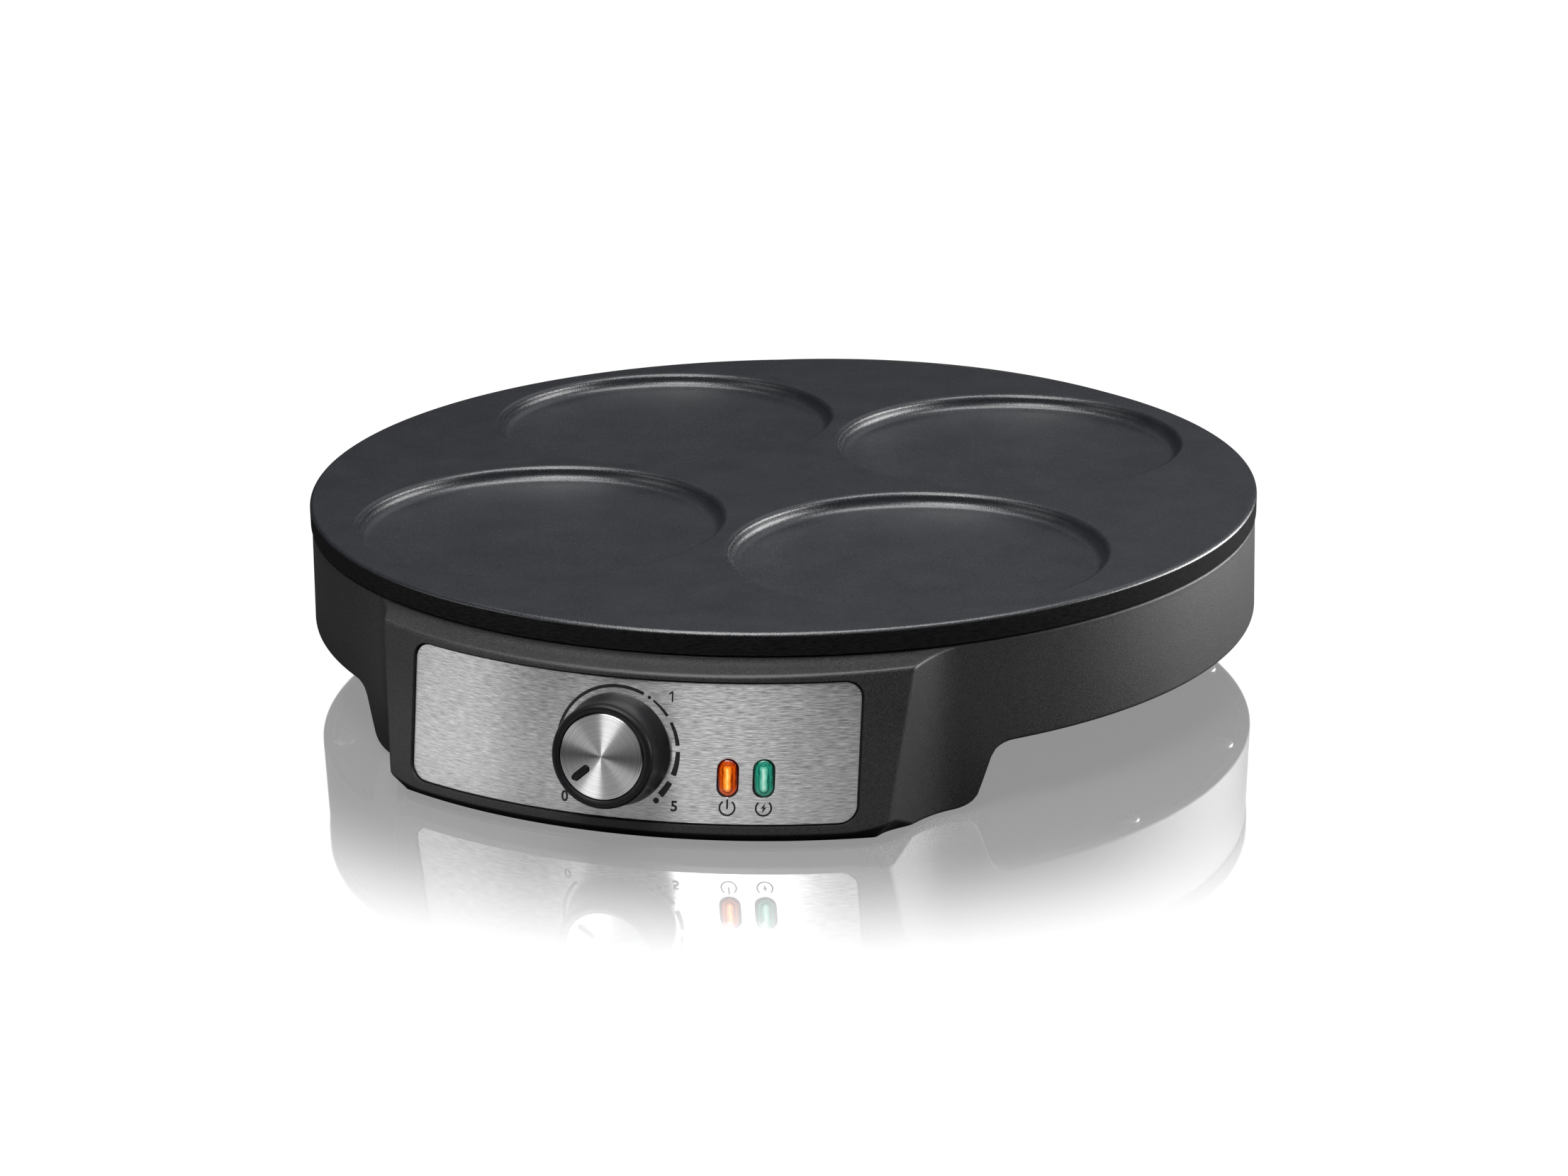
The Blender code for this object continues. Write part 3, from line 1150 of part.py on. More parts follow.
def make_sensor():
    """Bulb clipped under the plate and the capillary tube that joins it to the thermostat."""
    top = UNDER_Z - GAP
    half = BULB_LEN / 2
    cylinder("sensor_bulb", BULB_R, -half, half, SMALL_SIDE_COUNT, COPPER, lying(0, BULB_Y, top - BULB_R))
    make_clip("bulb_clip", BULB_R, 0, BULB_Y, top)
    start = KNOB_AXIS @ Vector((CAPILLARY_X, CAPILLARY_UP, BLOCK_REAR - GAP))
    inward = KNOB_AXIS.to_3x3() @ Vector((0, 0, -CAPILLARY_LEAD))
    under_ring = RIDGE_Z - ELEMENT_TUBE_R
    over_rim = (REFLECTOR_Z + REFLECTOR_RIM_H + UNDER_Z) / 2
    knots = [start, start + inward,
             place(CAPILLARY_X, -REFLECTOR_R - CAPILLARY_LEAD, over_rim - CAPILLARY_LEAD).translation,
             place(CAPILLARY_X / 2, -REFLECTOR_R, over_rim).translation,
             place(0, -ELEMENT_R - 3 * CAPILLARY_LEAD, over_rim - CAPILLARY_R).translation,
             place(0, -ELEMENT_R, under_ring).translation,
             place(0, BULB_Y - half - CAPILLARY_LEAD, top - BULB_R).translation,
             place(0, BULB_Y - half - GAP, top - BULB_R).translation]
    tube("capillary_tube", route(knots, CAPILLARY_BEND), CAPILLARY_R, COPPER)


def make_fuse():
    """Thermal fuse clipped under the reflector."""
    top = REFLECTOR_Z - GAP
    half = FUSE_LEN / 2
    cylinder("thermal_fuse", FUSE_R, -half, half, SMALL_SIDE_COUNT, CERAMIC,
             lying(FUSE_X, FUSE_Y, top - FUSE_R))
    make_clip("fuse_clip", FUSE_R, FUSE_X, FUSE_Y, top)


def make_terminal_block():
    """Block on the floor at the rear, with a bore through it for each conductor."""
    block = box("terminal_block", (TERMINAL_W, TERMINAL_D, TERMINAL_H),
                (0, AXIS_Y + TERMINAL_Y, TERMINAL_Z), PALE_NYLON)
    bevel(block, TERMINAL_BEVEL)
    for i in range(TERMINAL_WAY_COUNT):
        bore = cylinder("terminal_bore", TERMINAL_BORE_R, -TERMINAL_D, TERMINAL_D, SMALL_SIDE_COUNT, None,
                        lying(terminal_x(i), TERMINAL_Y, TERMINAL_Z))
        combine(block, bore, "DIFFERENCE")


def terminal_x(i):
    return (i - (TERMINAL_WAY_COUNT - 1) / 2) * TERMINAL_PITCH


def make_wires(pins):
    """Insulated wires, each whole from one terminal to the other, with a straight lead at its ends."""
    floor = FLOOR_Z + GAP + WIRE_R
    climb = floor + WIRE_ARCH_RISE
    inward = KNOB_AXIS.to_3x3() @ Vector((0, 0, -1))
    lamp_inward = LAMP_FRAME.to_3x3() @ Vector((0, 0, -1))
    forward = Vector((0, -1, 0))
    front_of_block = TERMINAL_Y - TERMINAL_D / 4
    fuse_z = REFLECTOR_Z - GAP - FUSE_R
    fuse_half = FUSE_LEN / 2 + GAP

    def terminal(i):
        return place(terminal_x(i), front_of_block, TERMINAL_Z).translation, forward * 2

    def blade(side):
        return KNOB_AXIS @ Vector((side * BLADE_X, 0, BLOCK_REAR - BLADE_LEN - GAP)), inward

    def fuse(side):
        return place(FUSE_X, FUSE_Y + side * fuse_half, fuse_z).translation, -side * forward

    def pin(side):
        x, y, z = pins[side]
        return Vector((x, y + PIN_R + GAP, z - PIN_LEN / 2)), -forward

    def lamp(x):
        return LAMP_FRAME @ Vector((x - LAMP_MIDDLE, 0, HOLDER_REAR - GAP)), lamp_inward

    def wire(name, start, via, end, mat):
        (first, out), (last, back) = start, end
        knots = ([first, first + out * WIRE_LEAD] + [place(*spot).translation for spot in via]
                 + [last + back * WIRE_LEAD, last])
        tube(name, route(knots, WIRE_BEND), WIRE_R, mat)

    side = TERMINAL_W * 0.8
    wire("wire_live", terminal(0),
         [(-side, TERMINAL_Y / 2, floor), (-side, BULB_Y, floor), (-BLOCK_W / 2, WIRE_ARCH_Y, climb)],
         blade(-1), INSULATION_BROWN)
    wire("wire_neutral", terminal(1),
         [(terminal_x(1), TERMINAL_Y / 2, floor), (-ELEMENT_BEND_R, BULB_Y, floor)],
         pin("left"), INSULATION_BLUE)
    wire("wire_thermostat", blade(1),
         [(BLOCK_W / 2, WIRE_ARCH_Y, climb), (FUSE_X * 0.9, FUSE_Y * 1.5, fuse_z - FUSE_R)],
         fuse(-1), INSULATION_BROWN)
    wire("wire_element", fuse(1),
         [(FUSE_X * 0.75, FUSE_Y * 0.62, fuse_z - FUSE_R), (ELEMENT_BEND_R * 2.4, FUSE_Y, fuse_z - FUSE_R)],
         pin("right"), INSULATION_BROWN)
    for i, (name, x) in enumerate((("wire_lamp_power", LENS_XS[0]), ("wire_lamp_ready", LENS_XS[1]))):
        lane = (BULB_LEN, BULB_LEN + WIRE_BEND)[i]
        wire(name, terminal(3 + i), [(lane, TERMINAL_Y / 2, floor), (lane, BULB_Y, floor),
                                     ((x + lane) / 2, WIRE_ARCH_Y, climb)], lamp(x), INSULATION_WHITE)


def make_inlet():
    """Snap-in grommet round the cord's opening in the rear wall."""
    outer = GAP + INLET_FLANGE_T
    inner = -WALL - 2 * GAP
    back = inner - INLET_SNAP_T
    turned("cord_grommet",
           [(INLET_BORE_R, outer), (INLET_FLANGE_R - INLET_SNAP, outer),
            (INLET_FLANGE_R, outer - INLET_SNAP), (INLET_FLANGE_R, GAP), (INLET_WAIST_R, GAP),
            (INLET_WAIST_R, inner), (INLET_WAIST_R + INLET_SNAP, inner), (INLET_WAIST_R, back),
            (INLET_BORE_R, back)], ROUND_SIDE_COUNT, RUBBER, INLET_AXIS, True)


make_plate()
PINS = make_element()
make_reflector(PINS)
make_housing()
make_base_cover()
make_fixings()
make_panel()
make_knob()
make_thermostat()
make_lamps()
make_sensor()
make_fuse()
make_terminal_block()
make_wires(PINS)
make_inlet()
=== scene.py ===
"""Looks of the electric pancake maker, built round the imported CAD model.

Lengths are metres, +Z is up and the front with its controls faces -Y. Sizes repeat those of the part's
source, because this file reads nothing but the frame.
"""

import json
from math import acos, asin, atan2, cos, pi, radians, sin, tan

import bmesh
import bpy
from mathutils import Matrix, Vector
from mathutils.geometry import tessellate_polygon


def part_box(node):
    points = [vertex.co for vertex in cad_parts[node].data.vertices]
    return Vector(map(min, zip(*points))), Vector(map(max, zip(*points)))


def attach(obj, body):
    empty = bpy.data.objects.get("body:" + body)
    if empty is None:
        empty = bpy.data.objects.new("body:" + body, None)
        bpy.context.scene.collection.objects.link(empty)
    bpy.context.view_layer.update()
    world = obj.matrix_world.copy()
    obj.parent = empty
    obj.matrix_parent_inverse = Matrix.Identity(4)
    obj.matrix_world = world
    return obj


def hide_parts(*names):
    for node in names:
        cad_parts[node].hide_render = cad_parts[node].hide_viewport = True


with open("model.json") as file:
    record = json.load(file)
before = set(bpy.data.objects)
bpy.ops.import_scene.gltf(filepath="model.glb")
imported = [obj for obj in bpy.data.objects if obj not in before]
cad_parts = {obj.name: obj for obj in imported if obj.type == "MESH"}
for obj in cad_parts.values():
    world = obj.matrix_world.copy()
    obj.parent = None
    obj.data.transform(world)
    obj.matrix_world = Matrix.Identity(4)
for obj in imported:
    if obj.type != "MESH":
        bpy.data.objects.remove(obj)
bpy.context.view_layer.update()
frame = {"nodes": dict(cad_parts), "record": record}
NODES = frame["nodes"]

MM = 0.001
GAP = 0.3 * MM
OVERRUN = 3.0 * MM
MERGE = 0.001 * MM
SHARP = 32      # degrees between two faces above which their edge stays sharp

# Heights
FOOT_Z = 1.6 * MM
LIP_Z = FOOT_Z + 49.2 * MM
RIM_Z = LIP_Z + 0.35 * MM
PLATE_RIM_H = 6.85 * MM
TOP_Z = RIM_Z + PLATE_RIM_H
BAND_H = 30.9 * MM
BAND_Z = LIP_Z - BAND_H

# Baking plate
PLATE_R = 150.0 * MM
PLATE_EDGE = 1.3 * MM
PLATE_LAND = 5.2 * MM
PLATE_T = 9.0 * MM
UNDER_Z = TOP_Z - PLATE_T
PAN_R = 57.7 * MM
PAN_CENTRE_R = PLATE_R - 7.6 * MM - PAN_R
PAN_DEPTH = 4.8 * MM
PAN_WALL = 4.6 * MM
ELEMENT_R = 95.0 * MM
GROOVE = 3.6 * MM
RIDGE_DROP = 4.0 * MM
RIDGE_SIDE = 2.2 * MM
STUD_R = 6.0 * MM
STUD_H = 10.7 * MM
STUD_CENTRE_R = 118.0 * MM
STUD_BORE_R = 2.2 * MM
STUD_BORE_H = 8.0 * MM
PLATE_SIDES = 256
PAN_SIDES = 144

# Housing
WALL = 2.6 * MM
LIP_R = 149.6 * MM
LIP_EDGE = 0.4 * MM
FLANGE_R = LIP_R - 4.3 * MM
BAND_FOOT_R = LIP_R + 0.7 * MM
BAND_EDGE = 0.4 * MM
CREASE_DROP = 2.2 * MM
CREASE_RISE = 0.9 * MM
CREASE_EDGE = 0.6 * MM
FACE_TOP_R = LIP_R + 9.5 * MM
FACE_LEAN = radians(10.45)
LOBE_TOP_HALF = 79.5 * MM
LOBE_FOOT_HALF = 74.4 * MM
TOE_H = 3.1 * MM
TOE_IN = 4.1 * MM
TOE_CORNER_H = 2.0 * MM
TOE_CORNER_SHARE = 0.85
TOE_FADE_SHARE = 0.28
FLANK_END = asin(LOBE_TOP_HALF / FACE_TOP_R) + 16.765 / 149.6
FLANK_POWER = 2.1
CREST_RISE = 5.7 * MM
CREST_FALL = 1.5 * MM
CREST_CLEAR = 1.2 * MM
ARCH_Y = LIP_R - 34.9 * MM
ARCH_SLOPE = radians(76.5)
ARCH_TOP_R = 4.8 * MM
ARCH_FOOT_R = 5.0 * MM
ARCH_END = acos((ARCH_Y - 6.583 * MM) / BAND_FOOT_R)
CORNER_SOFT = 1.1 * MM      # how far from the lobe's corner its rounding starts
CREASE_Z = LIP_Z - CREASE_DROP

# Front panel and the places on it
KNOB_Z = LIP_Z - 24.1 * MM
FACE_KNOB_R = FACE_TOP_R + (CREASE_Z - KNOB_Z) * tan(FACE_LEAN)
PANEL_HALF_W = 66.6 * MM
PANEL_H = 39.6 * MM
PANEL_UP = 0.3 * MM
PANEL_CORNER_R = 4.7 * MM
PANEL_T = 0.5 * MM
PANEL_REVEAL = 0.8 * MM
PANEL_EDGE_GAP = 0.25 * MM
RECESS_DEPTH = PANEL_REVEAL + PANEL_T + GAP
RECESS_MARGIN = 0.2 * MM    # how much wider the seen recess is than the CAD's, for its dark outline
LENS_XS = (31.9 * MM, 41.7 * MM)
LENS_UP = -6.4 * MM
LENS_W = 5.2 * MM
LENS_H = 10.2 * MM
LENS_PROUD = 0.9 * MM
LENS_FLANGE = 1.1 * MM
LENS_FLANGE_T = 1.0 * MM
LENS_REAR = -WALL - GAP - LENS_FLANGE_T

# Knob
KNOB_H = 13.0 * MM
KNOB_BASE_R = 16.0 * MM
KNOB_NECK_R = 14.5 * MM
KNOB_BEAD_R = 14.9 * MM
KNOB_SKIN = 1.9 * MM
RUNNING = 0.4 * MM
CAP_R = 12.0 * MM
CAP_T = 0.9 * MM
CAP_INSET = 0.5 * MM
CAP_EDGE = 0.35 * MM
POINTER_ANGLE = radians(131.0)
POINTER_NEAR_R = 4.9 * MM
POINTER_FAR_R = 10.5 * MM
POINTER_W = 1.7 * MM
HUB_R = 5.6 * MM
SHAFT_R = 3.0 * MM
SHAFT_SEAT = 8.0 * MM
BUSH_R = 4.0 * MM

# Feet, screws and the cord inlet
FOOT_R = 8.0 * MM
FOOT_X = 50.0 * MM
FOOT_Y = FACE_TOP_R - 20.1 * MM
FOOT_STEM_R = 3.2 * MM
FOOT_BARB_R = 4.3 * MM
FOOT_BARB_H = 3.0 * MM
WELL_Z = FOOT_Z + 2.5 * MM
BOSS_CENTRE_R = LIP_R - 6.0 * MM
BOSS_ANGLES = [radians(a) for a in (-118.0, -90.0, -62.0, 62.0, 90.0, 118.0)]
BOSS_R = 4.2 * MM
BOSS_H = 18.0 * MM
BOSS_BORE_R = 1.6 * MM
BOSS_BORE_H = 9.3 * MM
FLOOR_Z = BAND_Z + 2.5 * MM
BASE_SCREW_R = 1.3 * MM
BASE_HEAD_R = 3.1 * MM
BASE_HEAD_H = 1.7 * MM
INLET_DROP = 35.5 * MM
INLET_BORE_R = 4.5 * MM
INLET_WAIST_R = 6.0 * MM
INLET_FLANGE_R = 8.4 * MM
INLET_FLANGE_T = 1.7 * MM
INLET_SNAP = 0.9 * MM
INLET_SNAP_T = 2.6 * MM

KNOB_REACH = (FACE_KNOB_R + (KNOB_H - PANEL_REVEAL) * cos(FACE_LEAN)
              + CAP_R * sin(FACE_LEAN))
REAR_REACH = (FACE_TOP_R + (INLET_DROP - CREASE_DROP) * tan(FACE_LEAN)
              + (GAP + INLET_FLANGE_T) * cos(FACE_LEAN)
              + (INLET_FLANGE_R - INLET_SNAP) * sin(FACE_LEAN))
AXIS_Y = (KNOB_REACH - REAR_REACH) / 2


# Node materials

class Nodes:
    """Short calls that add nodes to one tree and wire them up."""

    def __init__(self, tree):
        self.tree = tree

    def link(self, a, b):
        self.tree.links.new(a, b)

    def node(self, kind, **values):
        """New node; each value is for an input, its spaces written as underlines, or for a setting."""
        made = self.tree.nodes.new(kind)
        for key, value in values.items():
            socket = key.replace("_", " ")
            if socket in made.inputs:
                made.inputs[socket].default_value = value
            else:
                setattr(made, key, value)
        return made

    def split(self, vector):
        parts = self.node("ShaderNodeSeparateXYZ")
        self.link(vector, parts.inputs[0])
        return parts.outputs

    def noise(self, vector, scale, detail=2.0, rough=0.5):
        made = self.node("ShaderNodeTexNoise", Scale=scale, Detail=detail, Roughness=rough)
        self.link(vector, made.inputs["Vector"])
        return made.outputs["Fac"]

    def ramp(self, factor, stops):
        made = self.node("ShaderNodeValToRGB")
        elements = made.color_ramp.elements
        while len(elements) < len(stops):
            elements.new(0.5)
        for element, (place, colour) in zip(elements, stops):
            element.position = place
            element.color = (*colour, 1.0)
        self.link(factor, made.inputs["Fac"])
        return made.outputs["Color"]

    def spread(self, factor, low, high, from_low, from_high, kind="LINEAR"):
        """Value that runs from low to high while the factor runs over its own range."""
        made = self.node("ShaderNodeMapRange", interpolation_type=kind, From_Min=from_low,
                         From_Max=from_high, To_Min=low, To_Max=high)
        self.link(factor, made.inputs["Value"])
        return made.outputs["Result"]

    def math(self, operation, a, b=0.0):
        made = self.node("ShaderNodeMath", operation=operation)
        for socket, value in zip(made.inputs, (a, b)):
            if isinstance(value, (int, float)):
                socket.default_value = value
            else:
                self.link(value, socket)
        return made.outputs[0]

    def times(self, a, b):
        return self.math("MULTIPLY", a, b)

    def plus(self, a, b):
        return self.math("ADD", a, b)

    def blend(self, a, share, b):
        return self.plus(self.times(a, share), self.times(b, 1 - share))

    def hypot(self, a, b):
        return self.math("SQRT", self.plus(self.times(a, a), self.times(b, b)))


class Look(Nodes):
    """Principled material with its procedural nodes."""

    def __init__(self, name, colour, roughness, metallic=0.0, specular=0.5):
        self.mat = bpy.data.materials.new(name)
        self.mat.use_nodes = True
        self.mat.diffuse_color = (*colour, 1.0)
        super().__init__(self.mat.node_tree)
        self.shader = self.tree.nodes["Principled BSDF"]
        self.colour = colour
        self.set(Base_Color=(*colour, 1.0), Roughness=roughness, Metallic=metallic,
                 Specular_IOR_Level=specular)

    def set(self, **values):
        for key, value in values.items():
            self.shader.inputs[key.replace("_", " ")].default_value = value

    def feed(self, socket, output):
        self.link(output, self.shader.inputs[socket])

    def coords(self, scale=(1, 1, 1), place=None):
        """Object coordinates, or others, stretched by a scale."""
        mapping = self.node("ShaderNodeMapping", Scale=scale)
        self.link(place or self.node("ShaderNodeTexCoord").outputs["Object"], mapping.inputs["Vector"])
        return mapping.outputs["Vector"]

    def tint(self, factor, reach, low, high):
        """Base colour, as shares of the own colour, while a factor runs over a reach each way from 0.5."""
        stops = [(place, [c * share for c in self.colour]) for place, share in ((0.0, low), (1.0, high))]
        self.feed("Base Color", self.ramp(self.spread(factor, 0, 1, 0.5 - reach, 0.5 + reach), stops))

    def rough(self, factor, low, high):
        self.feed("Roughness", self.spread(factor, low, high, 0.25, 0.75))

    def bump(self, height, strength, distance):
        made = self.node("ShaderNodeBump", Strength=strength, Distance=distance)
        self.link(height, made.inputs["Height"])
        self.feed("Normal", made.outputs["Normal"])

    def grooves(self, amount, **tangent):
        """Gloss stretched across grooves that run along a tangent."""
        self.set(Anisotropic=amount, Anisotropic_Rotation=0.25)
        self.feed("Tangent", self.node("ShaderNodeTangent", **tangent).outputs["Tangent"])


def non_stick():
    """Matte coating on the casting: fine speckle with a little slow mottling."""
    look = Look("coating", (0.021, 0.0222, 0.0258), 0.32, specular=0.85)
    place = look.coords()
    fine = look.noise(place, 2600, 3.0, 0.6)
    look.tint(look.blend(fine, 0.75, look.noise(place, 70, 3.0, 0.55)), 0.15, 0.6, 1.5)
    look.rough(fine, 0.17, 0.29)
    look.bump(fine, 0.85, 0.1 * MM)
    return look.mat


def rim_coating():
    """Turned rim of the plate: duller and darker, with fine streaks along it."""
    look = Look("turned_rim", (0.010, 0.010, 0.0105), 0.60, specular=0.03)
    streak = look.noise(look.coords((1, 1, 14)), 420, 4.0, 0.6)
    look.tint(streak, 0.17, 0.4, 2.2)
    look.rough(streak, 0.50, 0.70)
    look.bump(streak, 0.25, 0.05 * MM)
    return look.mat


def grained(name, colour, roughness, grain, strength=0.4, specular=0.5, contrast=0.22):
    """Moulded or fired surface with a fine grain and a little slow mottling."""
    look = Look(name, colour, roughness, specular=specular)
    place = look.coords()
    fine = look.noise(place, grain, 3.0, 0.6)
    look.tint(look.blend(fine, 0.9, look.noise(place, 45)), 0.14, 1 - contrast, 1 + contrast)
    look.rough(fine, roughness - 0.06, roughness + 0.08)
    look.bump(fine, strength, 0.06 * MM)
    return look.mat


def brushed_sheet():
    """Steel brushed from side to side: long fine streaks in the sheet's own flat coordinates."""
    look = Look("brushed_sheet", (0.785, 0.785, 0.79), 0.36, 1.0)
    flat = look.node("ShaderNodeUVMap", uv_map="flat").outputs["UV"]
    fine = look.noise(look.coords((330, 5200, 1), flat), 1.0, 2.0, 0.6)
    both = look.blend(fine, 0.72, look.noise(look.coords((90, 1900, 1), flat), 1.0, 3.0, 0.6))
    look.tint(both, 0.13, 0.62, 1.32)
    look.rough(both, 0.28, 0.44)
    look.grooves(0.8, direction_type="UV_MAP", uv_map="flat")
    look.bump(fine, 0.12, 0.03 * MM)
    return look.mat


def spun_disc():
    """Turned metal disc: fine rings about its own axis and the stretched gloss that they give."""
    look = Look("spun_disc", (0.96, 0.96, 0.97), 0.36, 1.0)
    look.shader.distribution = "GGX"
    x, y, _ = look.split(look.node("ShaderNodeTexCoord").outputs["Object"])
    ring = look.node("ShaderNodeTexNoise", noise_dimensions="1D", Scale=3800, Detail=3)
    look.link(look.hypot(x, y), ring.inputs["W"])
    rings = ring.outputs["Fac"]
    look.tint(rings, 0.15, 0.72, 1.04)
    look.grooves(1.0, direction_type="RADIAL", axis="Z")
    look.bump(rings, 0.3, 0.05 * MM)
    return look.mat


def metal(name, colour, roughness, grain=900, worn=0.1):
    look = Look(name, colour, roughness, 1.0)
    fine = look.noise(look.coords(), grain, 4.0, 0.6)
    look.tint(fine, 0.2, 1 - worn, 1 + worn)
    look.rough(fine, roughness - 0.08, roughness + 0.1)
    look.bump(fine, 0.15, 0.03 * MM)
    return look.mat


LENS_STOPS = (0.0, 0.22, 0.42, 0.52, 0.62, 0.8, 1.0)
GLOW_STOPS = (0.0, 0.25, 0.5, 0.65, 1.0)


def lens(name, strength, colours, glows):
    """Clear coloured lens whose colour and glow run from its middle, 0, to its edge, 1; its colour paints the
    lit lens's light, a bright middle with painted highlights, darker towards a ring and the edge.
    """
    look = Look(name, colours[1], 0.1)
    look.set(Coat_Weight=0.7, Coat_Roughness=0.05, Emission_Strength=strength)
    x, y, _ = look.split(look.node("ShaderNodeUVMap", uv_map="flat").outputs["UV"])
    shape = LENS_H / LENS_W
    along = look.math("SUBTRACT", look.times(look.math("ABSOLUTE", y), shape), shape - 1)
    off = look.hypot(look.math("ABSOLUTE", x), look.math("MAXIMUM", along, 0.0))
    facet = look.noise(look.coords((1, 0.3, 0.3)), 1400)
    off = look.plus(off, look.times(look.math("SUBTRACT", facet, 0.5), 0.45))
    # Base colour paints the lens's light: a bright middle as painted light and highlight, darker towards a
    # ring and the edge.
    look.feed("Base Color", look.ramp(off, list(zip(LENS_STOPS, colours))))
    look.feed("Emission Color", look.ramp(off, list(zip(GLOW_STOPS, glows))))
    look.bump(facet, 0.3, 0.1 * MM)
    return look.mat


COATING = non_stick()
RIM = rim_coating()
HOUSING = grained("housing_grain", (0.022, 0.022, 0.022), 0.46, 2500, 1.0, specular=0.6, contrast=0.7)
PANEL = brushed_sheet()
DISC = spun_disc()
KNOB = grained("knob_satin", (0.010, 0.010, 0.011), 0.36, 2600, 0.15, specular=0.2)
RUBBER = grained("foot_rubber", (0.018, 0.018, 0.018), 0.8, 1400, 0.6)
INK = grained("panel_ink", (0.012, 0.012, 0.013), 0.5, 2400, 0.1)
# The first colours of each lens paint its light and highlights in the middle, darker towards a ring and the
# edge; the second set is the lamp's own glow.
ORANGE = lens("orange_glow", 0.55,
              ((1.0, 0.72, 0.25), (1.0, 0.36, 0.03), (0.75, 0.12, 0.01), (0.16, 0.01, 0.0),
               (0.85, 0.16, 0.01), (0.55, 0.05, 0.0), (0.10, 0.0, 0.0)),
              ((1.0, 0.6, 0.12), (1.0, 0.22, 0.0), (0.1, 0.0, 0.0), (0.35, 0.04, 0.0), (0.02, 0.0, 0.0)))
GREEN = lens("green_glow", 0.35,
             ((0.72, 0.95, 0.85), (0.25, 0.70, 0.52), (0.03, 0.36, 0.24), (0.0, 0.09, 0.06),
              (0.05, 0.46, 0.32), (0.01, 0.27, 0.18), (0.0, 0.05, 0.03)),
             ((0.4, 0.8, 0.6), (0.05, 0.4, 0.27), (0.0, 0.05, 0.03), (0.01, 0.18, 0.11), (0.0, 0.02, 0.01)))
ZINC = metal("zinc_coat", (0.58, 0.58, 0.57), 0.36)

SLOT_LOOKS = {
    "non_stick": COATING,
    "housing_plastic": grained("base_grain", (0.034, 0.034, 0.035), 0.58, 1500),
    "panel_steel": PANEL,
    "spun_aluminium": DISC,
    "knob_plastic": KNOB,
    "orange_lens": ORANGE,
    "green_lens": GREEN,
    "lamp_glass": grained("lamp_glass_skin", (0.8, 0.74, 0.68), 0.12, 600, 0.05),
    "zinc_plated_steel": ZINC,
    "element_steel": metal("heated_tube", (0.26, 0.23, 0.21), 0.5, 500, 0.35),
    "brass": metal("brass_bar", (0.72, 0.52, 0.24), 0.34),
    "copper": metal("copper_tube", (0.72, 0.38, 0.26), 0.34),
    "steatite": grained("fired_ceramic", (0.74, 0.70, 0.62), 0.6, 900, 0.3),
    "rubber": RUBBER,
    "insulation_brown": grained("brown_sleeve", (0.17, 0.07, 0.035), 0.55, 900, 0.2),
    "insulation_blue": grained("blue_sleeve", (0.05, 0.12, 0.4), 0.55, 900, 0.2),
    "insulation_white": grained("white_sleeve", (0.72, 0.72, 0.69), 0.55, 900, 0.2),
    "nylon": grained("pale_nylon_grain", (0.68, 0.66, 0.60), 0.5, 1200, 0.15),
}


# Building blocks

def between(a, b, share):
    return a + (b - a) * share


def place_object(name, data, matrix=None):
    obj = bpy.data.objects.new(name, data)
    bpy.context.scene.collection.objects.link(obj)
    if matrix is not None:
        obj.matrix_world = matrix
    return obj


def add(name, bm, looks, stands_for=(), matrix=None, angle=SHARP, body="base"):
    """Piece that rides on a body and stands for CAD nodes."""
    obj = place_object(name, closed_mesh(name, bm, angle), matrix)
    for look in looks:
        obj.data.materials.append(look)
    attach(obj, body)
    if stands_for:
        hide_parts(*stands_for)
    return obj


def closed_mesh(name, bm, angle=SHARP):
    bmesh.ops.remove_doubles(bm, verts=bm.verts, dist=MERGE)
    bmesh.ops.recalc_face_normals(bm, faces=bm.faces)
    mesh = bpy.data.meshes.new(name)
    bm.to_mesh(mesh)
    bm.free()
    mesh.shade_smooth()
    mesh.set_sharp_from_angle(angle=radians(angle))
    return mesh


def weigh_normals(obj):
    mod = obj.modifiers.new("normals", "WEIGHTED_NORMAL")
    mod.keep_sharp = True
    mod.weight = 80


def arc(centre_x, centre_y, radius, start, end, steps):
    angles = [start + (end - start) * i / steps for i in range(steps + 1)]
    return [(centre_x + radius * cos(a), centre_y + radius * sin(a)) for a in angles]


def circle(x, y, radius, steps, turn=2 * pi):
    return arc(x, y, radius, 0, turn, steps)[:-1]


def rounded_between(a, corner, b, t):
    return a * (1 - t) ** 2 + corner * 2 * t * (1 - t) + b * t ** 2


def softened(points, radii, steps):
    """Open profile with its corners rounded; radii holds each point's setback in millimetres."""
    made = []
    for i, (point, r) in enumerate(zip(points, radii)):
        here = Vector(point)
        if not r or i in (0, len(points) - 1):
            made.append(here)
            continue
        before = Vector(points[i - 1]) - here
        after = Vector(points[i + 1]) - here
        a = here + before.normalized() * min(r * MM, before.length * 0.48)
        b = here + after.normalized() * min(r * MM, after.length * 0.48)
        made += [rounded_between(a, here, b, k / steps) for k in range(steps + 1)]
    return made


def lathe(bm, profile, sides, centre=(0, 0), material_of=None):
    """Surface of revolution from (radius, height) points; points on the axis close it."""
    rings = [[bm.verts.new((*spot, z)) for spot in (circle(*centre, r, sides) if r else [centre])]
             for r, z in profile]
    for k, (a, b) in enumerate(zip(rings, rings[1:])):
        for i in range(sides):
            j = (i + 1) % sides
            corners = dict.fromkeys((a[i % len(a)], a[j % len(a)], b[j % len(b)], b[i % len(b)]))
            if len(corners) > 2:
                face = bm.faces.new(list(corners))
                if material_of:
                    face.material_index = material_of(k)
    return rings


def capsule(width, height, steps=14):
    radius = width / 2
    top = arc(0, height / 2 - radius, radius, 0, pi, steps)
    return top + [(-x, -y) for x, y in top]


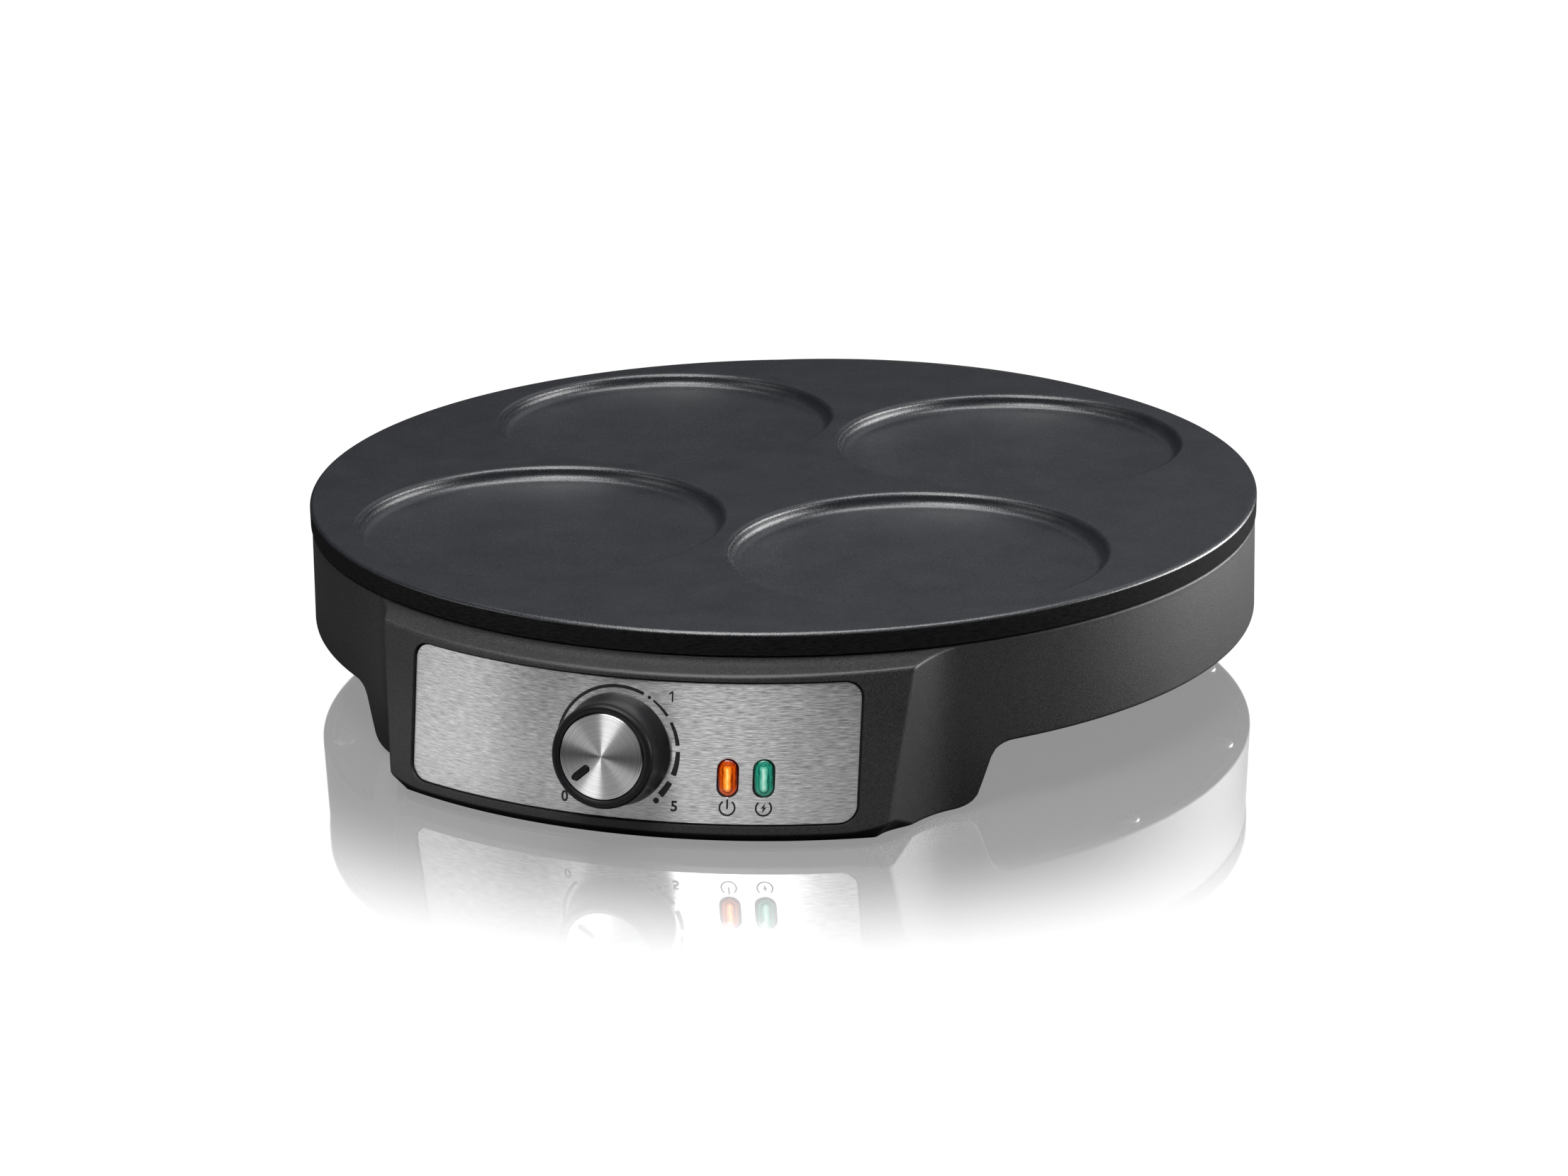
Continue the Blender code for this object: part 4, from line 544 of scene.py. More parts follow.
def rounded_rectangle(half_w, half_h, radius, steps=10):
    points = []
    for quarter, (sx, sy) in enumerate(((1, 1), (-1, 1), (-1, -1), (1, -1))):
        start = quarter * pi / 2
        points += arc(sx * (half_w - radius), sy * (half_h - radius), radius,
                      start, start + pi / 2, steps)
    return points


LENS_HOLE = capsule(LENS_W + 2 * GAP, LENS_H + 2 * GAP)


def face_frame(x, up):
    """Frame on the front lobe's leaning face: X across, Y up the face, Z out of it."""
    radius = FACE_KNOB_R - up * sin(FACE_LEAN)
    turn = asin(x / radius)
    across = Vector((cos(turn), sin(turn), 0))
    out = Vector((across.y * cos(FACE_LEAN), -across.x * cos(FACE_LEAN), sin(FACE_LEAN)))
    made = Matrix((across, out.cross(across), out)).transposed().to_4x4()
    made.translation = (radius * across.y, AXIS_Y - radius * across.x, KNOB_Z + up * cos(FACE_LEAN))
    return made


def bridge(bm, a, b):
    for i in range(len(a)):
        j = (i + 1) % len(a)
        bm.faces.new((a[i], a[j], b[j], b[i]))


def cap(bm, loops):
    """Flat faces inside the first loop and outside the others."""
    corners = [v for loop in loops for v in loop]
    for tri in tessellate_polygon([[Vector((v.co.x, v.co.y, 0)) for v in loop] for loop in loops]):
        bm.faces.new([corners[i] for i in tri])


def layered(bm, layers):
    """Solid through like outlines at several heights, each layer an outline and its height."""
    rings = [[bm.verts.new((x, y, z)) for x, y in outline] for outline, z in layers]
    for a, b in zip(rings, rings[1:]):
        bridge(bm, a, b)
    bm.faces.new(rings[0][::-1])
    bm.faces.new(rings[-1])


def inset(outline, distance):
    """Closed outline moved to its left by a distance."""
    if not distance:
        return outline
    made = []
    for i in range(len(outline)):
        p, q, r = (Vector(outline[(i + k) % len(outline)]) for k in (-1, 0, 1))
        a, b = (q - p), (r - q)
        a = a.normalized() if a.length > 1e-9 else b.normalized()
        b = b.normalized() if b.length > 1e-9 else a
        n = (Vector((-a.y, a.x)) + Vector((-b.y, b.x))).normalized()
        made.append(q + n * distance)
    return made


def sheet_solid(bm, outlines, low, high, bevel=0.0):
    """Flat solid with holes between two heights, its upper edges bevelled."""
    levels = [(low, 0.0), (high, 0.0)]
    if bevel:
        levels[1:] = [(high - bevel * (1 - sin(a)), bevel * (1 - cos(a)))
                      for a in (0, pi / 6, pi / 3, pi / 2)]
    ends = []
    for outline in outlines:
        rings = [[bm.verts.new((*spot, z)) for spot in inset(outline, distance)] for z, distance in levels]
        for a, b in zip(rings, rings[1:]):
            bridge(bm, a, b)
        ends.append((rings[0], rings[-1]))
    cap(bm, [end[0] for end in ends])
    cap(bm, [end[1] for end in ends])


def roll(bm, pitch, half_w):
    """Cuts a flat solid into strips across X and wraps it onto the leaning face; keeps flat UVs."""
    x = -half_w
    while x < half_w:
        bmesh.ops.bisect_plane(bm, geom=bm.verts[:] + bm.edges[:] + bm.faces[:], dist=MERGE,
                               plane_co=(x, 0, 0), plane_no=(1, 0, 0))
        x += pitch
    layer = bm.loops.layers.uv.new("flat")
    for face in bm.faces:
        for loop in face.loops:
            loop[layer].uv = (loop.vert.co.x, loop.vert.co.y)
    for vert in bm.verts:
        vert.co = face_frame(vert.co.x, vert.co.y) @ Vector((0, 0, vert.co.z))


def cutter(name, bm, matrix=None):
    if matrix is not None:
        bmesh.ops.transform(bm, matrix=matrix, verts=bm.verts)
    return place_object(name, closed_mesh(name, bm))


def round_cutter(name, radius, depth, matrix):
    bm = bmesh.new()
    lathe(bm, [(0, OVERRUN), (radius, OVERRUN), (radius, -depth), (0, -depth)], 48)
    return cutter(name, bm, matrix)


def pour(bm, part):
    """Moves one bmesh into another."""
    mesh = bpy.data.meshes.new("part")
    part.to_mesh(mesh)
    part.free()
    bm.from_mesh(mesh)
    bpy.data.meshes.remove(mesh)


def mesh_of(obj):
    """New mesh of an object with its modifiers applied."""
    bpy.context.view_layer.update()
    return bpy.data.meshes.new_from_object(obj.evaluated_get(bpy.context.evaluated_depsgraph_get()))


def carve(obj, tools):
    """Cuts the tools out of obj and removes them."""
    for tool in tools:
        mod = obj.modifiers.new("cut", "BOOLEAN")
        mod.object = tool
        mod.operation = "DIFFERENCE"
        mod.solver = "EXACT"
    made = mesh_of(obj)
    obj.modifiers.clear()
    made.name = obj.data.name
    obj.data = made
    for tool in tools:
        bpy.data.objects.remove(tool)
    made.shade_smooth()
    made.set_sharp_from_angle(angle=radians(SHARP))


# Baking plate

def diagonal_spots(radius):
    """Four places on the plate's diagonals."""
    angles = [pi / 4 + pi / 2 * i for i in range(4)]
    return [(radius * cos(a), AXIS_Y + radius * sin(a)) for a in angles]


def make_plate():
    """Cast plate with four pans, its turned rim, and the ridge and studs underneath."""
    bm = bmesh.new()
    groove_in, groove_out = ELEMENT_R - GROOVE, ELEMENT_R + GROOVE
    land_r = PLATE_R - PLATE_LAND
    ridge_z = UNDER_Z - RIDGE_DROP
    rim = arc(PLATE_R - PLATE_EDGE, TOP_Z - PLATE_EDGE, PLATE_EDGE, pi / 2, 0, 10)
    profile = [*rim, *softened([rim[-1], (PLATE_R, RIM_Z), (land_r, RIM_Z)], [0, 0.35, 0], 3)[1:],
               *softened([(land_r, RIM_Z), (land_r, UNDER_Z), (groove_out + RIDGE_SIDE, UNDER_Z),
                          (groove_out + RIDGE_SIDE, ridge_z), (groove_out, ridge_z)],
                         [0, 0.6, 1.0, 0.5, 0], 3)[1:],
               (groove_out, ridge_z + GROOVE),
               *arc(ELEMENT_R, ridge_z + GROOVE - 0.01 * MM, GROOVE * 0.999, 0.1, pi - 0.1, 12),
               (groove_in, ridge_z + GROOVE), (groove_in, ridge_z), (groove_in - RIDGE_SIDE, ridge_z),
               (groove_in - RIDGE_SIDE, UNDER_Z), (0, UNDER_Z)]
    turned = range(len(rim) - 3, len(rim) + 5)      # bands of the profile that are the turned rim
    loops = [lathe(bm, [Vector((r, min(z, TOP_Z))) for r, z in profile], PLATE_SIDES, (0, AXIS_Y),
                   lambda k: 1 if k in turned else 0)[0]]
    brim = PAN_WALL * 0.35
    fillet = PAN_WALL * 0.65
    wall = (arc(PAN_R, -brim, brim, pi / 2, pi, 8)
            + arc(PAN_R - PAN_WALL, fillet - PAN_DEPTH, fillet, 0, -pi / 2, 10) + [(0, -PAN_DEPTH)])
    for centre in diagonal_spots(PAN_CENTRE_R):
        loops.append(lathe(bm, [(r, TOP_Z + z) for r, z in wall], PAN_SIDES, centre)[0])
    cap(bm, loops)
    low = UNDER_Z - STUD_H
    for centre in diagonal_spots(STUD_CENTRE_R):
        lathe(bm, [(0, UNDER_Z + 0.5 * MM), (STUD_R, UNDER_Z + 0.5 * MM), (STUD_R, low + 0.5 * MM),
                   (STUD_R - 0.5 * MM, low), (STUD_BORE_R, low), (STUD_BORE_R, low + STUD_BORE_H),
                   (0, low + STUD_BORE_H)], 32, centre)
    weigh_normals(add("plate_casting", bm, [COATING, RIM], ["baking_plate"]))


# Housing

def face_radius(z):
    return FACE_TOP_R + (CREASE_Z - z) * tan(FACE_LEAN)


def band_radius(z):
    return between(LIP_R, BAND_FOOT_R, min((LIP_Z - z) / BAND_H, 1.0))


def corner_angle(z):
    share = (CREASE_Z - z) / (CREASE_Z - FOOT_Z)
    return asin(between(LOBE_TOP_HALF, LOBE_FOOT_HALF, share) / face_radius(z))


def plan(angle, radius):
    return Vector((radius * sin(angle), -radius * cos(angle)))


FACE_LAST = 1 - CORNER_SOFT / LOBE_TOP_HALF
FLANK_FIRST = CORNER_SOFT / (17.5 * MM)


def wall_columns():
    """Columns of a quarter: the zone's name and the share of that zone."""
    face = [("face", FACE_LAST * i / 40) for i in range(40)] + [("face", FACE_LAST)]
    corner = [("corner", i / 8) for i in range(1, 8)]
    flank = [("flank", between(FLANK_FIRST, 1, (i / 26) ** 1.15)) for i in range(26)]
    side = [("arch", i / 14) for i in range(14)] + [("band", i / 30) for i in range(31)]
    return face + corner + flank + side


def sharp_wall(zone, share, z):
    """Plan point of the outer wall before its corner is rounded, and how much lobe is left there."""
    corner = corner_angle(z)
    band = band_radius(z)
    if zone == "face":
        return plan(corner * share, face_radius(z)), 1.0
    if zone == "flank":
        swell = max(0.0, 1 - share) ** FLANK_POWER
        return plan(between(corner, FLANK_END, share), between(band, face_radius(z), swell)), swell
    if zone == "arch":
        return plan(between(FLANK_END, ARCH_END, share), band), 0.0
    return plan(between(ARCH_END, pi / 2, share), band), 0.0


def wall_point(zone, share, z):
    if zone != "corner":
        return sharp_wall(zone, share, z)
    a, _ = sharp_wall("face", FACE_LAST, z)
    tip, _ = sharp_wall("face", 1.0, z)
    b, low = sharp_wall("flank", FLANK_FIRST, z)
    return rounded_between(a, tip, b, share), 1 + (low - 1) * share ** 2


def arch_outline():
    turn = ARCH_SLOPE
    top_y = ARCH_Y - ARCH_TOP_R * tan(turn / 2)
    foot_y = ARCH_Y + (BAND_Z - FOOT_Z) / tan(turn) + ARCH_FOOT_R * tan(turn / 2)
    steps = 12
    top = [turn * i / steps for i in range(steps + 1)]
    foot = [turn * (1 - i / steps) for i in range(steps + 1)]
    return ([(top_y + ARCH_TOP_R * sin(a), BAND_Z - ARCH_TOP_R * (1 - cos(a))) for a in top]
            + [(foot_y - ARCH_FOOT_R * sin(a), FOOT_Z + ARCH_FOOT_R * (1 - cos(a))) for a in foot])


ARCH = arch_outline()


def underside(y):
    y = abs(y)
    if y <= ARCH[0][0]:
        return ARCH[0][1]
    for (y0, z0), (y1, z1) in zip(ARCH, ARCH[1:]):
        if y <= y1:
            return z0 + (z1 - z0) * (y - y0) / (y1 - y0)
    return ARCH[-1][1]


def toe_size(zone, share):
    """Height of the bevel at the foot of the wall, and how far it draws in."""
    if zone in ("face", "corner"):
        place = share if zone == "face" else 1.0
        corner = max(0.0, (place - TOE_CORNER_SHARE) / (1 - TOE_CORNER_SHARE))
        return TOE_H + TOE_CORNER_H * corner ** 1.5, TOE_IN
    fade = max(0.0, 1 - (share - FLANK_FIRST) / TOE_FADE_SHARE) if zone == "flank" else 0.0
    return between(BAND_EDGE, TOE_H + TOE_CORNER_H, fade), between(BAND_EDGE, TOE_IN, fade)


def normal_at(zone, share, z):
    step = 0.002
    a, _ = sharp_wall(zone, share - step, z)
    b, _ = sharp_wall(zone, share + step, z)
    along = (b - a).normalized()
    return Vector((-along.y, along.x))


def foot_point(zone, share, z, distance):
    """Bottom ring's point: the wall's foot moved in, with the lobe's corner kept mitred."""
    face_n = normal_at("face", 1.0 - 0.002, z)
    flank_n = normal_at("flank", 0.004, z)
    tip, _ = sharp_wall("face", 1.0, z)
    middle = (face_n + flank_n).normalized()
    mitre = tip + middle * (TOE_IN / max(middle.dot(face_n), 0.5))

    def face_in(s):
        whole = atan2(mitre.x, -mitre.y)
        return plan(whole * s, (face_radius(z) - TOE_IN) + (mitre.length - face_radius(z) + TOE_IN) * s ** 8)

    def flank_in(s, far):
        point, _ = sharp_wall("flank", s, z)
        near = max(0.0, 1 - s / 0.3)
        return point + (mitre - tip) * (near ** 1.5) + normal_at("flank", s, z) * far * (1 - near ** 1.5)

    if zone == "face":
        return face_in(share)
    if zone == "corner":
        return rounded_between(face_in(FACE_LAST), mitre, flank_in(FLANK_FIRST, TOE_IN), share)
    if zone == "flank":
        return flank_in(share, distance)
    point, _ = wall_point(zone, share, z)
    return point + normal_at(zone, min(max(share, 0.003), 0.997), z) * distance


def column(zone, share, rear):
    """Section of the wall at one column, top to bottom, each row a plan point and a height."""
    point, swell = wall_point(zone, share, CREASE_Z)
    angle, top_r = atan2(point.x, -point.y), point.length
    crest = swell ** 2 if rear else 0.0
    lip_r = LIP_R + (CREST_CLEAR * min(1.0, 2.2 * swell) if rear else 0.0)
    edge_z = LIP_Z - LIP_EDGE
    corner = share if zone == "face" else 1.0
    drop = CREASE_DROP - LIP_EDGE - CREASE_RISE * corner ** 2
    crest_rise = CREST_RISE - CREST_FALL * corner ** 2
    fall = drop * (top_r - LIP_R) / (FACE_TOP_R - LIP_R) * (1 - crest) - crest_rise * crest
    crease_z = edge_z - fall
    mid_r = lip_r + (top_r - CREASE_EDGE - lip_r) * 0.5 * (1 - crest) * swell + LIP_EDGE * crest
    mid_z = edge_z - fall * max(0.5, crest) - LIP_EDGE * 0.4
    ease = LIP_EDGE * (1 - swell)
    rows = [(plan(angle, FLANGE_R), LIP_Z), (plan(angle, lip_r - LIP_EDGE), LIP_Z),
            (plan(angle, lip_r), edge_z), (plan(angle, mid_r), mid_z),
            (plan(angle, top_r - CREASE_EDGE * swell), crease_z - ease)]
    wall_z = rows[-1][1] - CREASE_EDGE
    low_z = FOOT_Z
    for _ in range(3):
        point, _ = wall_point(zone, share, low_z)
        low_z = underside(point.y)
    toe_h, toe_in = toe_size(zone, share)
    for level in (0.0, 0.25, 0.5, 0.75, 1.0):
        z = between(wall_z, low_z + toe_h, level)
        rows.append((wall_point(zone, share, z)[0], z))
    rows.append((foot_point(zone, share, low_z, toe_in), low_z))
    return [Vector((*p, z)) for p, z in rows], swell


def outer_section(zone, share, rear):
    rows, swell = column(zone, share, rear)
    radii = [0, 0.25, 0.25, 0.8, 0.35 + 0.4 * swell, 0.35 + 0.3 * swell, 0, 0, 0, 0.6, 0]
    return softened(rows, radii, 3)


def pulled_in(p, distance, z):
    """Point of the wall moved towards the middle and set at a height."""
    flat = Vector((p.x, p.y))
    flat = flat * (1 - distance / flat.length)
    return Vector((*flat, z))


def mirrored(columns, flip_x, flip_y):
    return [[Vector((p.x * flip_x, p.y * flip_y, p.z)) for p in rows] for rows in columns]


def make_housing():
    """Lofted shell, finer than the CAD's, with the panel's recess and its holes."""
    front, rear = ([outer_section(zone, share, behind) for zone, share in wall_columns()]
                   for behind in (False, True))
    whole = (front + mirrored(rear, 1, -1)[::-1][1:] + mirrored(rear, -1, -1)[1:]
             + mirrored(front, -1, 1)[::-1][1:-1])
    bm = bmesh.new()
    grid = []
    for rows in whole:
        top, wall_top, wall_foot, bottom = rows[0], rows[18], rows[-4], rows[-1]
        inner = [pulled_in(bottom, WALL, bottom.z), pulled_in(wall_foot, WALL * 1.15, wall_foot.z),
                 pulled_in(wall_top, WALL * 1.15, LIP_Z - 2 * WALL), pulled_in(top, 0.0, LIP_Z - WALL)]
        grid.append([bm.verts.new((p.x, p.y + AXIS_Y, p.z)) for p in rows + inner])
    depth = len(grid[0])
    for a, b in zip(grid, grid[1:] + grid[:1]):
        for k in range(depth):
            m = (k + 1) % depth
            bm.faces.new((a[k], b[k], b[m], a[m]))
    low = FLOOR_Z + GAP
    for angle in BOSS_ANGLES:
        centre = (BOSS_CENTRE_R * sin(angle), AXIS_Y - BOSS_CENTRE_R * cos(angle))
        lathe(bm, [(0, low + BOSS_H), (BOSS_R, low + BOSS_H), (BOSS_R, low), (BOSS_BORE_R, low),
                   (BOSS_BORE_R, low + BOSS_BORE_H), (0, low + BOSS_BORE_H)], 24, centre)
    bmesh.ops.triangulate(bm, faces=bm.faces)
    housing = add("housing_moulding", bm, [HOUSING], ["housing_shell"])

    bm = bmesh.new()
    margin = PANEL_EDGE_GAP + RECESS_MARGIN
    outline = rounded_rectangle(PANEL_HALF_W + margin, PANEL_H / 2 + margin, PANEL_CORNER_R + margin)
    sheet_solid(bm, [[(x, y + PANEL_UP) for x, y in outline]], -RECESS_DEPTH, OVERRUN)
    roll(bm, 2.2 * MM, PANEL_HALF_W)
    through = WALL * 1.4 + OVERRUN
    tools = [cutter("recess", bm), round_cutter("shaft_hole", BUSH_R + 2 * GAP, through, face_frame(0, 0))]
    for x in LENS_XS:
        bm = bmesh.new()
        layered(bm, [(LENS_HOLE, -through), (LENS_HOLE, OVERRUN)])
        tools.append(cutter("lens_hole", bm, face_frame(x, LENS_UP)))
    tools.append(round_cutter("inlet_hole", INLET_WAIST_R + GAP, through, inlet_axis()))
    carve(housing, tools)
    weigh_normals(housing)


def inlet_axis():
    out = Vector((0, cos(FACE_LEAN), sin(FACE_LEAN)))
    across = Vector((-1, 0, 0))
    made = Matrix((across, out.cross(across), out)).transposed().to_4x4()
    reach = FACE_TOP_R + (INLET_DROP - CREASE_DROP) * tan(FACE_LEAN)
    made.translation = (0, AXIS_Y + reach, LIP_Z - INLET_DROP)
    return made


# Front panel and its marks

def make_panel():
    """Brushed sheet with its holes, rolled onto the face."""
    bm = bmesh.new()
    outline = [(x, y + PANEL_UP) for x, y in rounded_rectangle(PANEL_HALF_W, PANEL_H / 2, PANEL_CORNER_R)]
    hole = circle(0, 0, BUSH_R + 2 * GAP, 40, -2 * pi)
    slots = [[(x + px, LENS_UP + py) for px, py in LENS_HOLE][::-1] for x in LENS_XS]
    sheet_solid(bm, [outline, hole, *slots], -PANEL_REVEAL - PANEL_T, -PANEL_REVEAL, 0.22 * MM)
    roll(bm, 1.7 * MM, PANEL_HALF_W)
    weigh_normals(add("panel_sheet", bm, [PANEL], ["control_panel"]))


SCALE_R = 17.8 * MM     # printed scale round the knob
SIGN_R = 2.1 * MM       # rings of the two small signs
SIGN_UP = -14.75 * MM
DIGIT_SHARE = 0.72      # a digit's height as a share of its font size


def polar(radius, degrees):
    """Point on the panel round the knob, clockwise from straight up."""
    a = radians(degrees)
    return radius * sin(a), radius * cos(a)


def bow(radius, start, end, thick_start, thick_end, steps):
    """Outline of an arc-shaped mark whose thickness runs from one value to another."""
    outer, inner = [], []
    for i in range(steps + 1):
        a = between(start, end, i / steps)
        half = between(thick_start, thick_end, i / steps) / 2
        outer.append(polar(radius + half, a))
        inner.append(polar(radius - half, a))
    return outer + inner[::-1]


def digit_mesh(text, x, y, height):
    """Flat mesh of a plain number, from the built-in font, centred at a point."""
    curve = bpy.data.curves.new("digit", "FONT")
    curve.body = text
    curve.size = height / DIGIT_SHARE
    curve.resolution_u = 4
    curve.offset = 0.035 * height
    obj = place_object("digit", curve)
    mesh = mesh_of(obj)
    bpy.data.objects.remove(obj)
    bpy.data.curves.remove(curve)
    low, high = (Vector((end(v.co.x for v in mesh.vertices), end(v.co.y for v in mesh.vertices)))
                 for end in (min, max))
    middle = (low + high) / 2
    for v in mesh.vertices:
        v.co = (v.co.x - middle.x + x, v.co.y - middle.y + y, 0)
    return mesh


def make_marks():
    """Thin printed marks round the knob and under the lamps, raised a hair from the sheet."""
    outlines = [bow(SCALE_R, -135, 25, 0.9 * MM, 0.9 * MM, 60), circle(*polar(SCALE_R, 31), 0.5 * MM, 20)]
    for start, end, a, b in ((35.5, 54.5, 0.55, 0.85), (61, 83, 0.85, 1.2), (88.5, 110.5, 1.2, 1.6),
                             (117.5, 132.5, 1.6, 1.9)):
        outlines.append(bow(SCALE_R, start, end, a * MM, b * MM, 14))
    outlines.append(circle(*polar(SCALE_R + 0.4 * MM, 138.5), 0.85 * MM, 20))
    bar = [(-0.25, -0.3), (0.25, -0.3), (0.25, 2.4), (-0.25, 2.4)]
    bolt = [(0.5, 1.5), (-0.75, -0.1), (-0.1, -0.1), (-0.45, -1.5), (0.8, 0.25), (0.15, 0.25)]
    for x, gap_at, middle in ((LENS_XS[0] + 0.1 * MM, 36, bar), (LENS_XS[1] + 0.2 * MM, 42, bolt)):
        ring = bow(SIGN_R, gap_at, 360 - gap_at, 0.5 * MM, 0.5 * MM, 30)
        for outline in (ring, [(px * MM, py * MM) for px, py in middle]):
            outlines.append([(px + x, py + SIGN_UP) for px, py in outline])
    one = [(0.05, -0.5), (0.19, -0.5), (0.19, 0.5), (0.08, 0.5), (-0.2, 0.3), (-0.2, 0.15), (0.05, 0.3)]
    outlines.append([((15.4 + 3.0 * px) * MM, (15.9 + 3.0 * py) * MM) for px, py in one])

    bm = bmesh.new()
    low, high = -PANEL_REVEAL - 0.02 * MM, -PANEL_REVEAL + 0.035 * MM
    for outline in outlines:
        area = sum(ax * by - bx * ay for (ax, ay), (bx, by) in zip(outline, outline[1:] + outline[:1]))
        sheet_solid(bm, [outline if area > 0 else outline[::-1]], low, high)
    for text, x, y, height in (("0", -15.1, -15.0, 3.1), ("5", 17.2, -14.9, 3.0)):
        mesh = digit_mesh(text, x * MM, y * MM, height * MM)
        digit = bmesh.new()
        digit.from_mesh(mesh)
        bpy.data.meshes.remove(mesh)
        bmesh.ops.remove_doubles(digit, verts=digit.verts, dist=MERGE)
        for v in digit.verts:
            v.co.z = high
        for v in bmesh.ops.extrude_face_region(digit, geom=digit.faces[:])["geom"]:
            if isinstance(v, bmesh.types.BMVert):
                v.co.z = low
        pour(bm, digit)
    roll(bm, 2.0 * MM, 24 * MM)
    add("panel_marks", bm, [INK])


# Knob

def make_knob():
    """Knob with its neck, bead and hollow back, and the spun disc in it, in the knob's own frame."""
    spot = face_frame(0, 0) @ Matrix.Translation((0, 0, -PANEL_REVEAL))
    seat = KNOB_H - CAP_INSET - CAP_T - GAP
    pocket_r = CAP_R + GAP
    inner_top = seat - KNOB_SKIN
    bore_top = RUNNING + SHAFT_SEAT + GAP
    bore_r = SHAFT_R + GAP
    points = [(0, seat), (pocket_r, seat), (pocket_r, KNOB_H - CAP_INSET),
              ((pocket_r + KNOB_BEAD_R) / 2, KNOB_H), (KNOB_BEAD_R - CAP_INSET, KNOB_H - CAP_INSET),
              (KNOB_BEAD_R, KNOB_H * 0.84), (KNOB_NECK_R, KNOB_H * 0.66), (KNOB_NECK_R, KNOB_H * 0.45),
              (KNOB_BASE_R - CAP_INSET, KNOB_H * 0.2), (KNOB_BASE_R, RUNNING),
              (KNOB_BASE_R - KNOB_SKIN, RUNNING), (KNOB_NECK_R - KNOB_SKIN, inner_top),
              (HUB_R, inner_top), (HUB_R, RUNNING), (bore_r, RUNNING), (bore_r, bore_top), (0, bore_top)]
    radii = [0, 0.1, 0.25, *[10] * 6, 0.3, 0.3, 0.5, 0.5, 0.2, 0.2, 0.2, 0]
    bm = bmesh.new()
    lathe(bm, softened(points, radii, 6), 128)
    low = seat + GAP
    top = low + CAP_T
    length = POINTER_FAR_R - POINTER_NEAR_R
    turn = (Matrix.Rotation(POINTER_ANGLE, 4, "Z")
            @ Matrix.Translation((0, (POINTER_NEAR_R + POINTER_FAR_R) / 2, 0)))
    ridge = bmesh.new()
    layered(ridge, [(capsule(POINTER_W - edge, length - edge), z)
                    for edge, z in ((0, seat - KNOB_SKIN / 2), (0, top - 0.2 * MM),
                                    (0.2 * MM, top - 0.06 * MM), (0.5 * MM, top))])
    bmesh.ops.transform(ridge, matrix=turn, verts=ridge.verts)
    pour(bm, ridge)
    add("knob_grip", bm, [KNOB], ["knob_body"], spot, 40, "knob")

    bm = bmesh.new()
    edge = arc(CAP_R - CAP_EDGE, top - CAP_EDGE, CAP_EDGE, pi / 2, 0, 5)
    lathe(bm, [(CAP_R * k / 6, top) for k in range(6)] + edge + [(CAP_R, low), (0, low)], 144)
    disc = add("knob_disc", bm, [DISC], ["knob_cap"], spot, body="knob")
    bm = bmesh.new()
    opening = capsule(POINTER_W + 2 * GAP, length + 2 * GAP)
    layered(bm, [(opening, low - OVERRUN), (opening, low + OVERRUN)])
    carve(disc, [cutter("pointer_hole", bm, spot @ turn)])
    weigh_normals(disc)


# Lamp lenses

def make_lenses():
    face = LENS_PROUD - PANEL_REVEAL
    for name, x, look, slot, node in (("lens_orange", LENS_XS[0], ORANGE, "orange_lens", "lens_power"),
                                      ("lens_green", LENS_XS[1], GREEN, "green_lens", "lens_ready")):
        steps = [(-LENS_FLANGE, LENS_REAR), (-LENS_FLANGE, LENS_REAR + LENS_FLANGE_T),
                 (0, LENS_REAR + LENS_FLANGE_T)]
        steps += [(inner * MM, face - drop * MM) for inner, drop in (
            (0, 0.65), (0.12, 0.48), (0.35, 0.36), (0.85, 0.32), (0.95, 0.42), (1.05, 0.42), (1.18, 0.1),
            (1.45, 0.0))]
        bm = bmesh.new()
        layered(bm, [(capsule(LENS_W - 2 * inner, LENS_H - 2 * inner), z) for inner, z in steps])
        bmesh.ops.triangulate(bm, faces=[f for f in bm.faces if len(f.verts) > 4])
        uv = bm.loops.layers.uv.new("flat")
        for f in bm.faces:
            for loop in f.loops:
                loop[uv].uv = (loop.vert.co.x / (LENS_W / 2), loop.vert.co.y / (LENS_H / 2))
        add(name, bm, [look], [node], face_frame(x, LENS_UP))


# Feet, screws and the cord inlet

def make_feet():
    for i, (sx, sy) in enumerate(((-1, -1), (-1, 1), (1, -1), (1, 1)), 1):
        bm = bmesh.new()
        barb = WELL_Z + GAP
        profile = [(0, barb + FOOT_BARB_H), (FOOT_STEM_R * 0.6, barb + FOOT_BARB_H), (FOOT_BARB_R, barb),
                   (FOOT_STEM_R, barb), (FOOT_STEM_R, FOOT_Z - GAP), (FOOT_R - 0.2 * MM, FOOT_Z - GAP),
                   (FOOT_R, FOOT_Z - 2 * GAP), (FOOT_R - 0.1 * MM, 0.6 * MM), (FOOT_R - 0.3 * MM, 0.2 * MM),
                   (FOOT_R - 0.8 * MM, 0.0), (6.0 * MM, 0.0), (5.6 * MM, 0.3 * MM), (4.6 * MM, 0.3 * MM),
                   (4.2 * MM, 0.0), (3.2 * MM, 0.0), (2.8 * MM, 0.3 * MM), (0, 0.3 * MM)]
        lathe(bm, profile, 48)
        spot = Matrix.Translation((sx * FOOT_X, AXIS_Y + sy * FOOT_Y, 0))
        add(f"foot_pad_{i}", bm, [RUBBER], [f"rubber_foot_{i}"], spot)


